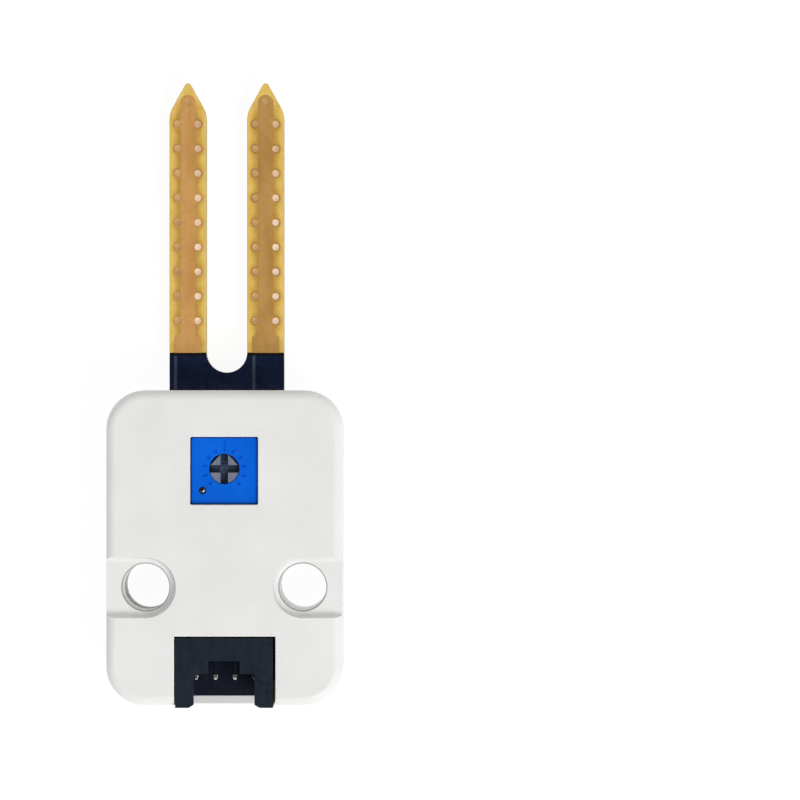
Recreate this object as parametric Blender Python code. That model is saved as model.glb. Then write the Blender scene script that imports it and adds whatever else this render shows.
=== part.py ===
"""Soil moisture sensor: a fork-shaped probe board held in a small two-part case.

The sensor lies on its back. The origin is the centre of the case's back face, +X runs across the case,
+Y along the prongs and +Z up out of the front face. Lengths are in metres.
"""

import math

import bmesh
import bpy

MM = 0.001

# Case: two shells that meet at a seam halfway up
CASE_WIDTH = 24.1 * MM
CASE_LENGTH = 32.1 * MM
CASE_HEIGHT = 8.1 * MM
CASE_CORNER = 4.0 * MM
EDGE_ROUND = 1.0 * MM
WALL = 1.2 * MM
FACE = 0.95 * MM
SEAM_GAP = 0.1 * MM
RIM = (CASE_HEIGHT - SEAM_GAP) / 2
LIP_STEP = 0.7 * MM
LIP_HEIGHT = 0.6 * MM
LIP_SIDE_GAP = 0.08 * MM
LIP_END_GAP = 0.2 * MM

# Two fixing holes through the case, each in a pocket that runs out to the side
HOLE_X = 8.0 * MM
HOLE_Y = -4.0 * MM
BORE_RADIUS = 2.4 * MM
BORE_ROUND = 0.1 * MM
POCKET_DEPTH = 0.8 * MM
POCKET_RADIUS = 2.63 * MM
POCKET_FILLET = 0.4 * MM
POCKET_DRAFT = 0.05 * MM
POCKET_RIM_ROUND = 0.1 * MM
POCKET_PAD_RADIUS = 4.0 * MM
POCKET_PAD_DEPTH = 1.7 * MM
BOSS_RADIUS = 3.4 * MM
SPIGOT_RADIUS = 2.85 * MM
SPIGOT_HEIGHT = 0.5 * MM

# Four pins in the back shell, which locate the board and press into sleeves of the front shell
POST_X = 8.6 * MM
POST_Y = 12.6 * MM
POST_RADIUS = 1.2 * MM
POST_TOP = 4.6 * MM
SHOULDER_RADIUS = 1.8 * MM
SLEEVE_RADIUS = 1.95 * MM
SLEEVE_FIT = 0.05 * MM

# Probe board
CONTACT_GAP = 0.05 * MM
BOARD_BOTTOM = 1.5 * MM
BOARD_THICKNESS = 1.2 * MM
BOARD_TOP = BOARD_BOTTOM + BOARD_THICKNESS
BOARD_CLEARANCE = 0.15 * MM
BOARD_NOTCH_RADIUS = 4.15 * MM
BOARD_TAB_HALF = 5.7 * MM
BOARD_TAB_END = -15.35 * MM
NECK_HALF = 5.93 * MM
PRONG_REACH = 31.75 * MM
PRONG_GAP = 4.2 * MM
CROTCH_ABOVE_CASE = 1.85 * MM
MASK_ABOVE_CASE = 3.9 * MM
TAPER_ANGLE = math.radians(29)
TIP_RADIUS = 0.35 * MM
TAPER_SHOULDER = 2.9 * MM

# Electrodes: foil on both faces of each prong, joined by plated holes
FOIL = 0.05 * MM
FOIL_LIFT = 0.02 * MM
STRIP_HALF = 0.78 * MM
ROOT_HALF = 1.35 * MM
ROOT_TOP = 21.6 * MM
ROOT_BLEND = 1.0 * MM
MASK_LAP = 0.2 * MM
PAD_RADIUS = 0.5 * MM
PLATING_RADIUS = 0.42 * MM
PLATED_BORE = 0.37 * MM
VIA_X = 1.04 * MM
VIA_PITCH = 2.54 * MM
VIA_ROWS = 9
TIP_TO_END_VIA = 2.0 * MM
TIP_TO_FIRST_ROW = 4.25 * MM

# Plug socket on the board's edge
SOCKET_HALF = 4.98 * MM
SOCKET_BACK = -9.15 * MM
SOCKET_FRONT = -16.25 * MM
SOCKET_FLOOR_FRONT = -15.4 * MM
SOCKET_HEIGHT = 5.3 * MM
SOCKET_BOTTOM = BOARD_TOP + CONTACT_GAP
SOCKET_TOP = SOCKET_BOTTOM + SOCKET_HEIGHT
SOCKET_SKIN = 0.55 * MM
SOCKET_CAVITY_HALF = 4.0 * MM
SOCKET_CAVITY_BACK = -10.4 * MM
SOCKET_ROOF_HALF = 3.1 * MM
SOCKET_ROOF_FRONT = -12.8 * MM
SOCKET_NOTCH_HALF = 1.6 * MM
SOCKET_NOTCH_BACK = -11.5 * MM
EAR_CHAMFER_X = 0.5 * MM
EAR_CHAMFER_Y = 0.3 * MM
CUTOUT_LEFT = -5.08 * MM
CUTOUT_RIGHT = 5.22 * MM
CUTOUT_BACK = -9.0 * MM
CUTOUT_LIP_TOP = 3.25 * MM
PIN_PITCH = 2.0 * MM
PIN_SIZE = 0.5 * MM
PIN_CLEARANCE = 0.05 * MM
PIN_TIP = -13.6 * MM
PIN_TIP_TAPER = 0.35 * MM
PIN_HEIGHT = 5.4 * MM
PIN_LEG = -8.95 * MM
PIN_FOOT_END = -7.5 * MM
PIN_CHANNEL_HALF = 0.35 * MM
PIN_CHANNEL_DEPTH = 0.35 * MM
ANCHOR_THICKNESS = 0.12 * MM
ANCHOR_FRONT = -14.75 * MM
ANCHOR_BACK = -13.6 * MM
ANCHOR_TOP = 6.4 * MM
ANCHOR_FOOT = 0.55 * MM

# Trimming potentiometer
TRIMMER_X = 0.0 * MM
TRIMMER_Y = 7.86 * MM
WINDOW_HALF = 3.45 * MM
WINDOW_CORNER = 0.15 * MM
TRIMMER_HALF_X = 3.35 * MM
TRIMMER_HALF_Y = 3.38 * MM
TRIMMER_CORNER = 0.25 * MM
TRIMMER_EDGE = 0.12 * MM
TRIMMER_TOP = 7.65 * MM
TRIMMER_FOOT = 0.25 * MM
TRIMMER_FOOT_SIZE = 0.9 * MM
TRIMMER_BASE_HALF = 2.95 * MM
TRIMMER_BASE_TOP = 3.5 * MM
ELEMENT_TOP = 4.15 * MM
TRIMMER_CEILING = 6.85 * MM
TRIMMER_BORE = 2.55 * MM
ROTOR_Y = 8.05 * MM
ROTOR_HOLE = 1.54 * MM
ROTOR_RADIUS = 1.49 * MM
ROTOR_TOP = 7.55 * MM
ROTOR_FLANGE_RADIUS = 2.35 * MM
ROTOR_FLANGE_BOTTOM = 4.75 * MM
ROTOR_FLANGE_TOP = 5.95 * MM
ROTOR_SLOT_HALF = 0.39 * MM
ROTOR_SLOT_DEPTH = 0.75 * MM
ROTOR_PAD_RADIUS = 0.5 * MM
ROTOR_PAD_HEIGHT = 0.12 * MM
ROTOR_FLAT = 1.27 * MM
ROTOR_FLAT_TURN = math.radians(48)
ROTOR_FLAT_DEPTH = 0.5 * MM
ROTOR_TRAVEL = math.radians(270)
SCALE_MARKS = 11
MARK_INNER = 1.8 * MM
MARK_OUTER = 2.25 * MM
LONG_MARK_OUTER = 2.85 * MM
MARK_HALF = 0.12 * MM
MARK_DEPTH = 0.12 * MM
DIMPLE_X = -2.2 * MM
DIMPLE_Y = -2.0 * MM
DIMPLE_RADIUS = 0.38 * MM
DIMPLE_DEPTH = 0.25 * MM
WIPER_RADIUS = 2.1 * MM
WIPER_THICKNESS = 0.15 * MM
WIPER_REACH = 1.6 * MM
WIPER_TIP_RADIUS = 0.16 * MM
SEAL_INNER = 1.56 * MM
SEAL_OUTER = 2.4 * MM
TERMINAL_RADIUS = 0.25 * MM
TERMINAL_BOTTOM = 1.05 * MM
TERMINAL_FIT = 0.03 * MM
TERMINAL_SPREAD = 2.54 * MM
TERMINAL_STAGGER = 1.27 * MM
BOARD_HOLE_FIT = 0.12 * MM

# Comparator and chip parts on the board
CHIP_Y = -3.4 * MM
CHIP_HALF_X = 1.95 * MM
CHIP_HALF_Y = 2.45 * MM
CHIP_STANDOFF = 0.15 * MM
CHIP_HEIGHT = 1.5 * MM
CHIP_DRAFT = 0.1 * MM
LEAD_PITCH = 1.27 * MM
LEAD_HALF = 0.2 * MM
LEAD_THICKNESS = 0.2 * MM
LEAD_SPAN = 3.0 * MM
LEAD_FOOT = 0.6 * MM
CHIP_PART_Y = 2.3 * MM
CHIP_PART_X = 2.5 * MM
CHIP_PART_HALF_X = 0.4 * MM
CHIP_PART_HALF_Y = 0.8 * MM
CHIP_PART_END = 0.35 * MM
CHIP_PART_STEP = 0.03 * MM
RESISTOR_HEIGHT = 0.45 * MM
CAPACITOR_HEIGHT = 0.8 * MM

# Finishes: colour, roughness, metallic
WHITE_PLASTIC = ((0.78, 0.78, 0.76), 0.5, 0.0)
FIBREGLASS = ((0.55, 0.37, 0.10), 0.45, 0.0)
COPPER = ((0.62, 0.36, 0.14), 0.35, 1.0)
DARK_PLASTIC = ((0.018, 0.021, 0.033), 0.5, 0.0)
TINNED_METAL = ((0.72, 0.70, 0.66), 0.3, 1.0)
BLUE_PLASTIC = ((0.0, 0.13, 0.70), 0.4, 0.0)
GREY_PLASTIC = ((0.17, 0.20, 0.27), 0.45, 0.0)
RED_RUBBER = ((0.25, 0.05, 0.03), 0.8, 0.0)
CERAMIC = ((0.80, 0.78, 0.72), 0.6, 0.0)
BLUE_SEALANT = ((0.03, 0.10, 0.30), 0.5, 0.0)
CHIP_PLASTIC = ((0.02, 0.02, 0.022), 0.6, 0.0)
RESISTOR_COAT = ((0.03, 0.03, 0.035), 0.5, 0.0)
CAPACITOR_CERAMIC = ((0.42, 0.30, 0.18), 0.5, 0.0)

# Fineness of round shapes
CORNER_STEPS = 7
ROUND_STEPS = 5
HOLE_STEPS = 32
POST_STEPS = 16
VIA_STEPS = 10
SMALL_ROUND_STEPS = 3
SHARP_ANGLE = math.radians(30)

# How far a cutter or a joined piece runs past the surface it meets
PAST = 1.0 * MM
OVERLAP = 0.45 * MM

CASE_END = CASE_LENGTH / 2
TIP_Y = CASE_END + PRONG_REACH
PRONG_X = (NECK_HALF + PRONG_GAP / 2) / 2
PRONG_HALF = (NECK_HALF - PRONG_GAP / 2) / 2
CROTCH_Y = CASE_END + CROTCH_ABOVE_CASE + PRONG_GAP / 2
MASK_Y = CASE_END + MASK_ABOVE_CASE


# ---------------------------------------------------------------- outlines


def arc(centre_x, centre_y, radius, start, end, steps):
    """Points of an arc, both ends included. Angles are in degrees."""
    turns = [math.radians(start + (end - start) * i / steps) for i in range(steps + 1)]
    return [(centre_x + radius * math.cos(a), centre_y + radius * math.sin(a)) for a in turns]


def circle(radius, centre=(0.0, 0.0), steps=HOLE_STEPS):
    return arc(*centre, radius, 0, 360, steps)[:-1]


def rectangle(half_x, half_y, centre=(0.0, 0.0)):
    x, y = centre
    corners = ((1, 1), (-1, 1), (-1, -1), (1, -1))
    return [(x + sx * half_x, y + sy * half_y) for sx, sy in corners]


def rounded_rectangle(half_x, half_y, radius, centre=(0.0, 0.0), steps=CORNER_STEPS):
    x, y = centre
    inner_x, inner_y = half_x - radius, half_y - radius
    points = []
    for quarter, (sx, sy) in enumerate(((1, 1), (-1, 1), (-1, -1), (1, -1))):
        start = 90 * quarter
        points += arc(x + sx * inner_x, y + sy * inner_y, radius, start, start + 90, steps)
    return points


def mirrored(points):
    """The right-hand half of an outline and its mirror image across X = 0, as one outline."""
    return points + [(-x, y) for x, y in reversed(points) if x != 0.0]


def ribbon(path, thickness):
    """The outline of a bent strip of even thickness along a path of (a, b) points."""
    sides = []
    for i, (a, b) in enumerate(path):
        before = path[max(i - 1, 0)]
        after = path[min(i + 1, len(path) - 1)]
        first = math.atan2(b - before[1], a - before[0]) if i else None
        second = math.atan2(after[1] - b, after[0] - a) if i < len(path) - 1 else first
        first = second if first is None else first
        turn = (second - first) / 2
        normal = first + turn + math.pi / 2
        reach = thickness / 2 / math.cos(turn)
        sides.append((reach * math.cos(normal), reach * math.sin(normal)))
    left = [(a + da, b + db) for (a, b), (da, db) in zip(path, sides)]
    right = [(a - da, b - db) for (a, b), (da, db) in zip(path, sides)]
    return left + right[::-1]


# ------------------------------------------------------------- solid tools


def body_from(name, bm):
    """An object of a finished bmesh, with every face pointing outwards."""
    bmesh.ops.recalc_face_normals(bm, faces=bm.faces)
    mesh = bpy.data.meshes.new(name)
    bm.to_mesh(mesh)
    bm.free()
    body = bpy.data.objects.new(name, mesh)
    bpy.context.scene.collection.objects.link(body)
    return body


def stack(name, outline, levels, ring=False):
    """A body through outline(size) at each (size, height) of levels.

    Its two ends are filled or, on a ring, joined to each other.
    """
    bm = bmesh.new()
    loops = [[bm.verts.new((x, y, z)) for x, y in outline(size)] for size, z in levels]
    pairs = list(zip(loops, loops[1:]))
    if ring:
        pairs.append((loops[-1], loops[0]))
    for low, high in pairs:
        for i in range(len(low)):
            bm.faces.new((low[i - 1], low[i], high[i], high[i - 1]))
    if not ring:
        bm.faces.new(loops[0])
        bm.faces.new(loops[-1])
    return body_from(name, bm)


def turned(name, centre, levels, steps=HOLE_STEPS, ring=False):
    """A round body about a vertical axis, from (radius, height) levels."""
    return stack(name, lambda radius: circle(radius, centre, steps), levels, ring)


def prism(name, outline, low, high):
    return stack(name, lambda _: outline, [(0, low), (0, high)])


def block(name, low, high):
    centre = ((low[0] + high[0]) / 2, (low[1] + high[1]) / 2)
    outline = rectangle((high[0] - low[0]) / 2, (high[1] - low[1]) / 2, centre)
    return prism(name, outline, low[2], high[2])


def bar(name, outline, axis, low, high):
    """A bar along X or Y. Its outline holds (other horizontal axis, height) points."""
    bm = bmesh.new()
    ends = []
    for place in (low, high):
        if axis == "X":
            ends.append([bm.verts.new((place, a, z)) for a, z in outline])
        else:
            ends.append([bm.verts.new((a, place, z)) for a, z in outline])
    for i in range(len(outline)):
        bm.faces.new((ends[0][i - 1], ends[0][i], ends[1][i], ends[1][i - 1]))
    for end in ends:
        bm.faces.new(end)
    return body_from(name, bm)


def merged(pieces):
    """Separate bodies as one object, for use as a tool."""
    bm = bmesh.new()
    for piece in pieces:
        bm.from_mesh(piece.data)
        bpy.data.objects.remove(piece)
    return body_from("tool", bm)


def apply_boolean(body, operation, tool):
    modifier = body.modifiers.new(operation, "BOOLEAN")
    modifier.operation = operation
    modifier.solver = "EXACT"
    modifier.object = tool
    graph = bpy.context.evaluated_depsgraph_get()
    result = bpy.data.meshes.new_from_object(body.evaluated_get(graph))
    body.modifiers.remove(modifier)
    body.data = result
    bpy.data.objects.remove(tool)


def add(body, *pieces):
    for piece in pieces:
        apply_boolean(body, "UNION", piece)


def cut(body, *pieces):
    for piece in pieces:
        apply_boolean(body, "DIFFERENCE", piece)


def finish(body, look):
    """Gives a body its own material, and shades it smooth except along its sharp edges."""
    colour, roughness, metallic = look
    material = bpy.data.materials.new(body.name)
    material.use_nodes = True
    shader = material.node_tree.nodes["Principled BSDF"]
    shader.inputs["Base Color"].default_value = (*colour, 1.0)
    shader.inputs["Roughness"].default_value = roughness
    shader.inputs["Metallic"].default_value = metallic
    body.data.materials.clear()
    body.data.materials.append(material)
    body.data.shade_smooth()
    body.data.set_sharp_from_angle(angle=SHARP_ANGLE)
    return body


def place(body, parent, x=0.0, y=0.0, turn=0.0):
    body.location = (x, y, 0.0)
    body.rotation_euler = (0.0, 0.0, turn)
    body.parent = parent
    return body


def place_copies(body, parent, places):
    """Places a body under its first name, and a copy of it with the same mesh under each other name."""
    for i, (name, x, y, turn) in enumerate(places):
        piece = body
        if i:
            piece = bpy.data.objects.new(name, body.data)
            bpy.context.scene.collection.objects.link(piece)
        piece.name = name
        place(piece, parent, x, y, turn)


def empty(name, parent=None, x=0.0, y=0.0):
    pivot = bpy.data.objects.new(name, None)
    bpy.context.scene.collection.objects.link(pivot)
    return place(pivot, parent, x, y)


# -------------------------------------------------------------------- case


def case_outline(inset):
    """The case's outline, moved inwards."""
    return rounded_rectangle(CASE_WIDTH / 2 - inset, CASE_LENGTH / 2 - inset, CASE_CORNER - inset)


def hole_u_shape(side):
    """U-shaped outlines round a fixing hole, by radius, which run out past the case's side."""
    outside = side * (CASE_WIDTH / 2 + PAST)

    def outline(radius):
        bend = arc(side * HOLE_X, HOLE_Y, radius, 90, 90 + side * 180, HOLE_STEPS // 2)
        return [*bend, (outside, bend[-1][1]), (outside, bend[0][1])]

    return outline


def pad_outline(side):
    """The thick region behind a pocket: a U shape that ends inside the side wall."""
    bend = arc(side * HOLE_X, HOLE_Y, POCKET_PAD_RADIUS, 90, 90 + side * 180, HOLE_STEPS // 2)
    end = side * (CASE_WIDTH / 2 - OVERLAP)
    return [*bend, (end, bend[-1][1]), (end, bend[0][1])]


def pocket_levels():
    """(radius, depth) down a pocket's wall: rounded rim, drafted wall and a fillet at the floor."""
    mouth = POCKET_RADIUS + POCKET_FILLET + POCKET_DRAFT + POCKET_RIM_ROUND
    levels = [(mouth, -PAST)]
    for i in range(SMALL_ROUND_STEPS + 1):
        a = math.pi / 2 * i / SMALL_ROUND_STEPS
        levels.append((mouth - POCKET_RIM_ROUND * math.sin(a), POCKET_RIM_ROUND * (1 - math.cos(a))))
    for i in range(SMALL_ROUND_STEPS + 1):
        a = math.pi / 2 * i / SMALL_ROUND_STEPS
        radius = POCKET_RADIUS + POCKET_FILLET * math.cos(a)
        levels.append((radius, POCKET_DEPTH - POCKET_FILLET * (1 - math.sin(a))))
    return levels


def bore_levels():
    """(radius, depth) of a fixing hole's cutter, with a rounded rim at the pocket's floor."""
    wide = BORE_RADIUS + BORE_ROUND
    levels = [(wide, POCKET_DEPTH - OVERLAP)]
    for i in range(SMALL_ROUND_STEPS + 1):
        a = math.pi / 2 * i / SMALL_ROUND_STEPS
        depth = POCKET_DEPTH + BORE_ROUND * (1 - math.cos(a))
        levels.append((wide - BORE_ROUND * math.sin(a), depth))
    levels.append((BORE_RADIUS, RIM + PAST))
    return levels


def shell(name, height_of, rim_levels, boss_levels, post_levels):
    """One half of the case. height_of turns a depth below its outer face into a height."""

    def at_height(levels):
        return [(size, height_of(depth)) for size, depth in levels]

    levels = []
    for i in range(ROUND_STEPS + 1):
        a = math.pi / 2 * i / ROUND_STEPS
        levels.append((EDGE_ROUND * (1 - math.sin(a)), EDGE_ROUND * (1 - math.cos(a))))
    half = stack(name, case_outline, at_height(levels + rim_levels + [(WALL, FACE)]))
    for side in (1, -1):
        centre = (side * HOLE_X, HOLE_Y)
        pad = prism("pad", pad_outline(side), height_of(OVERLAP), height_of(POCKET_PAD_DEPTH))
        add(half, pad, turned("boss", centre, at_height(boss_levels)))
        for end in (1, -1):
            post = (side * POST_X, end * POST_Y)
            add(half, turned("post", post, at_height(post_levels), POST_STEPS))
    for side in (1, -1):
        centre = (side * HOLE_X, HOLE_Y)
        cut(half, stack("pocket", hole_u_shape(side), at_height(pocket_levels())))
        cut(half, turned("bore", centre, at_height(bore_levels())))
    return half


def make_bottom_shell():
    rim_levels = [(0, RIM), (LIP_STEP, RIM), (LIP_STEP, RIM + LIP_HEIGHT), (WALL, RIM + LIP_HEIGHT)]
    boss_levels = [(BOSS_RADIUS, OVERLAP), (BOSS_RADIUS, RIM + SPIGOT_HEIGHT)]
    shoulder = BOARD_BOTTOM - CONTACT_GAP
    lead_in = 0.15 * MM
    post_levels = [
        (SHOULDER_RADIUS, OVERLAP),
        (SHOULDER_RADIUS, shoulder),
        (POST_RADIUS, shoulder),
        (POST_RADIUS, POST_TOP - 2 * lead_in),
        (POST_RADIUS - lead_in, POST_TOP),
    ]
    half = shell("bottom_shell", lambda depth: depth, rim_levels, boss_levels, post_levels)
    above = RIM + LIP_HEIGHT + PAST
    around = BOSS_RADIUS + LIP_SIDE_GAP
    for side in (1, -1):
        step = [(SPIGOT_RADIUS, RIM), (around, RIM), (around, above), (SPIGOT_RADIUS, above)]
        cut(half, turned("spigot_step", (side * HOLE_X, HOLE_Y), step, ring=True))
    outside = CASE_END + PAST
    inside = CASE_END - WALL - PAST
    clear = 0.1 * MM
    neck_slot = block(
        "neck_slot",
        (-NECK_HALF - clear, inside, BOARD_BOTTOM - clear),
        (NECK_HALF + clear, outside, above),
    )
    socket_mouth = block(
        "socket_mouth",
        (CUTOUT_LEFT, -outside, CUTOUT_LIP_TOP),
        (CUTOUT_RIGHT, -inside, above),
    )
    cut(half, neck_slot, socket_mouth)
    lip_half = SOCKET_CAVITY_HALF - clear
    for left, right in ((CUTOUT_LEFT, -lip_half), (lip_half, CUTOUT_RIGHT)):
        cut(half, block("ear_slot", (left, -outside, SOCKET_BOTTOM - clear), (right, -inside, above)))
    tab_pocket = block(
        "tab_pocket",
        (-BOARD_TAB_HALF - clear, BOARD_TAB_END - clear, BOARD_BOTTOM - clear),
        (BOARD_TAB_HALF + clear, -inside, CUTOUT_LIP_TOP + clear),
    )
    cut(half, tab_pocket)
    return finish(half, WHITE_PLASTIC)


def make_top_shell():
    rebate = LIP_STEP - LIP_SIDE_GAP
    rebate_depth = RIM - LIP_HEIGHT + SEAM_GAP - LIP_END_GAP
    rim_levels = [(0, RIM), (rebate, RIM), (rebate, rebate_depth), (WALL, rebate_depth)]
    boss_levels = [(BOSS_RADIUS, OVERLAP), (BOSS_RADIUS, RIM)]
    sleeve_end = CASE_HEIGHT - BOARD_TOP - CONTACT_GAP
    post_levels = [(SLEEVE_RADIUS, OVERLAP), (SLEEVE_RADIUS, sleeve_end)]

    def height_of(depth):
        return CASE_HEIGHT - depth

    half = shell("top_shell", height_of, rim_levels, boss_levels, post_levels)
    for side in (1, -1):
        spigot_hole = [
            (SPIGOT_RADIUS + LIP_SIDE_GAP, RIM),
            (SPIGOT_RADIUS + LIP_SIDE_GAP, RIM + SEAM_GAP + SPIGOT_HEIGHT + SEAM_GAP),
        ]
        cut(half, turned("spigot_hole", (side * HOLE_X, HOLE_Y), spigot_hole))
        for end in (1, -1):
            sleeve_bore = [
                (POST_RADIUS + SLEEVE_FIT, BOARD_TOP - PAST),
                (POST_RADIUS + SLEEVE_FIT, POST_TOP + LIP_END_GAP),
            ]
            cut(half, turned("sleeve_bore", (side * POST_X, end * POST_Y), sleeve_bore, POST_STEPS))
    inset = 0.05 * MM
    tongue = block(
        "tongue",
        (-NECK_HALF, CASE_END - WALL + inset, BOARD_TOP + 2 * inset),
        (NECK_HALF, CASE_END - inset, CASE_HEIGHT - rebate_depth + OVERLAP),
    )
    add(half, tongue)
    window = prism(
        "window",
        rounded_rectangle(WINDOW_HALF, WINDOW_HALF, WINDOW_CORNER, (TRIMMER_X, TRIMMER_Y), SMALL_ROUND_STEPS),
        CASE_HEIGHT - FACE - PAST,
        CASE_HEIGHT + PAST,
    )
    socket_cutout = block(
        "socket_cutout",
        (CUTOUT_LEFT, -CASE_END - PAST, BOARD_TOP),
        (CUTOUT_RIGHT, CUTOUT_BACK, CASE_HEIGHT + PAST),
    )
    cut(half, window, socket_cutout)
    return finish(half, WHITE_PLASTIC)


# ------------------------------------------------------- board, electrodes


def prong_tip(x):
    """A prong's end from its right side round to its left side: shoulder, taper and blunt point."""
    turn = math.degrees(TAPER_ANGLE)
    tip_centre = TIP_Y - TIP_RADIUS
    inner = PRONG_HALF - TAPER_SHOULDER
    along = inner + (TAPER_SHOULDER - TIP_RADIUS) * math.cos(TAPER_ANGLE)
    shoulder_y = tip_centre - along / math.tan(TAPER_ANGLE)
    shoulder_y -= (TAPER_SHOULDER - TIP_RADIUS) * math.sin(TAPER_ANGLE)
    right = arc(x + inner, shoulder_y, TAPER_SHOULDER, 0, turn, CORNER_STEPS)
    point = arc(x, tip_centre, TIP_RADIUS, turn, 180 - turn, CORNER_STEPS)
    left = arc(x - inner, shoulder_y, TAPER_SHOULDER, 180 - turn, 180, CORNER_STEPS)
    return right + point + left


def board_outline():
    """The board from the crotch of the fork, out round one prong and down its right side, mirrored."""
    half_x = CASE_WIDTH / 2 - WALL - BOARD_CLEARANCE
    half_y = CASE_END - WALL - BOARD_CLEARANCE
    corner = CASE_CORNER - WALL - BOARD_CLEARANCE
    crotch = arc(0, CROTCH_Y, PRONG_GAP / 2, 270, 360, CORNER_STEPS)
    crotch[0] = (0.0, CROTCH_Y - PRONG_GAP / 2)
    prong = prong_tip(PRONG_X)[::-1]
    neck = [(NECK_HALF, half_y)]
    upper_corner = arc(half_x - corner, half_y - corner, corner, 90, 0, CORNER_STEPS)
    notch = arc(HOLE_X, HOLE_Y, BOARD_NOTCH_RADIUS, 90, 270, HOLE_STEPS // 2)
    notch = [(half_x, notch[0][1]), *notch, (half_x, notch[-1][1])]
    lower_corner = arc(half_x - corner, corner - half_y, corner, 0, -90, CORNER_STEPS)
    tab = [(BOARD_TAB_HALF, -half_y), (BOARD_TAB_HALF, BOARD_TAB_END)]
    return mirrored(crotch + prong + neck + upper_corner + notch + lower_corner + tab)


def via_places(x):
    """Centres of one prong's plated holes: one near the tip, then rows of two."""
    places = [(x, TIP_Y - TIP_TO_END_VIA)]
    for row in range(VIA_ROWS):
        y = TIP_Y - TIP_TO_FIRST_ROW - row * VIA_PITCH
        places += [(x - VIA_X, y), (x + VIA_X, y)]
    return places


def terminal_places():
    """Centres of the trimmer's three terminals."""
    low, high = TRIMMER_Y - TERMINAL_STAGGER, TRIMMER_Y + TERMINAL_STAGGER
    return [
        (TRIMMER_X - TERMINAL_SPREAD, low),
        (TRIMMER_X, high),
        (TRIMMER_X + TERMINAL_SPREAD, low),
    ]


def drill(places, radius, low, high, steps):
    """A tool of one round hole at each place."""
    return merged([turned("drill", place, [(radius, low), (radius, high)], steps) for place in places])


def make_board():
    board = prism("circuit_board", board_outline(), BOARD_BOTTOM, BOARD_TOP)
    low, high = BOARD_BOTTOM - PAST, BOARD_TOP + PAST
    vias = via_places(PRONG_X) + via_places(-PRONG_X)
    posts = [(sx * POST_X, sy * POST_Y) for sx in (1, -1) for sy in (1, -1)]
    cut(board, drill(vias, PLATING_RADIUS + FOIL_LIFT, low, high, VIA_STEPS))
    cut(board, drill(posts, POST_RADIUS + SLEEVE_FIT, low, high, POST_STEPS))
    cut(board, drill(terminal_places(), TERMINAL_RADIUS + BOARD_HOLE_FIT, low, high, VIA_STEPS))
    return finish(board, FIBREGLASS)


def foil_outline():
    """One prong's foil: a strip with a pad round each hole, wider at its root."""
    reach = math.degrees(math.acos((STRIP_HALF - VIA_X) / PAD_RADIUS))
    root_end = MASK_Y - MASK_LAP
    side = [(ROOT_HALF, root_end), (ROOT_HALF, ROOT_TOP)]
    blend = ROOT_HALF - STRIP_HALF
    curve = arc(ROOT_HALF, ROOT_TOP + ROOT_BLEND, 1.0, 270, 180, CORNER_STEPS)
    for a, b in curve[1:]:
        across, up = (a - ROOT_HALF) * blend, (b - ROOT_TOP - ROOT_BLEND) * ROOT_BLEND
        side.append((ROOT_HALF + across, ROOT_TOP + ROOT_BLEND + up))
    for row in reversed(range(VIA_ROWS)):
        y = TIP_Y - TIP_TO_FIRST_ROW - row * VIA_PITCH
        side += arc(VIA_X, y, PAD_RADIUS, -reach, reach, VIA_STEPS)
    end_y = TIP_Y - TIP_TO_END_VIA
    side += arc(0, end_y, STRIP_HALF, 0, 90, CORNER_STEPS)[:-1]
    side.append((0.0, end_y + STRIP_HALF))
    return mirrored(side)


def make_electrode():
    """The foil of a prong whose middle line is at X = 0."""
    top = BOARD_TOP + FOIL_LIFT
    bottom = BOARD_BOTTOM - FOIL_LIFT
    foil = prism("electrode", foil_outline(), top, top + FOIL)
    barrels = drill(via_places(0.0), PLATING_RADIUS, bottom - FOIL / 2, top + FOIL / 2, VIA_STEPS)
    add(foil, barrels, prism("back_foil", foil_outline(), bottom - FOIL, bottom))
    cut(foil, drill(via_places(0.0), PLATED_BORE, bottom - PAST, top + PAST, VIA_STEPS))
    return finish(foil, COPPER)


# ------------------------------------------------------------- plug socket


def pin_places():
    return [(i - 1.5) * PIN_PITCH for i in range(4)]


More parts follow.
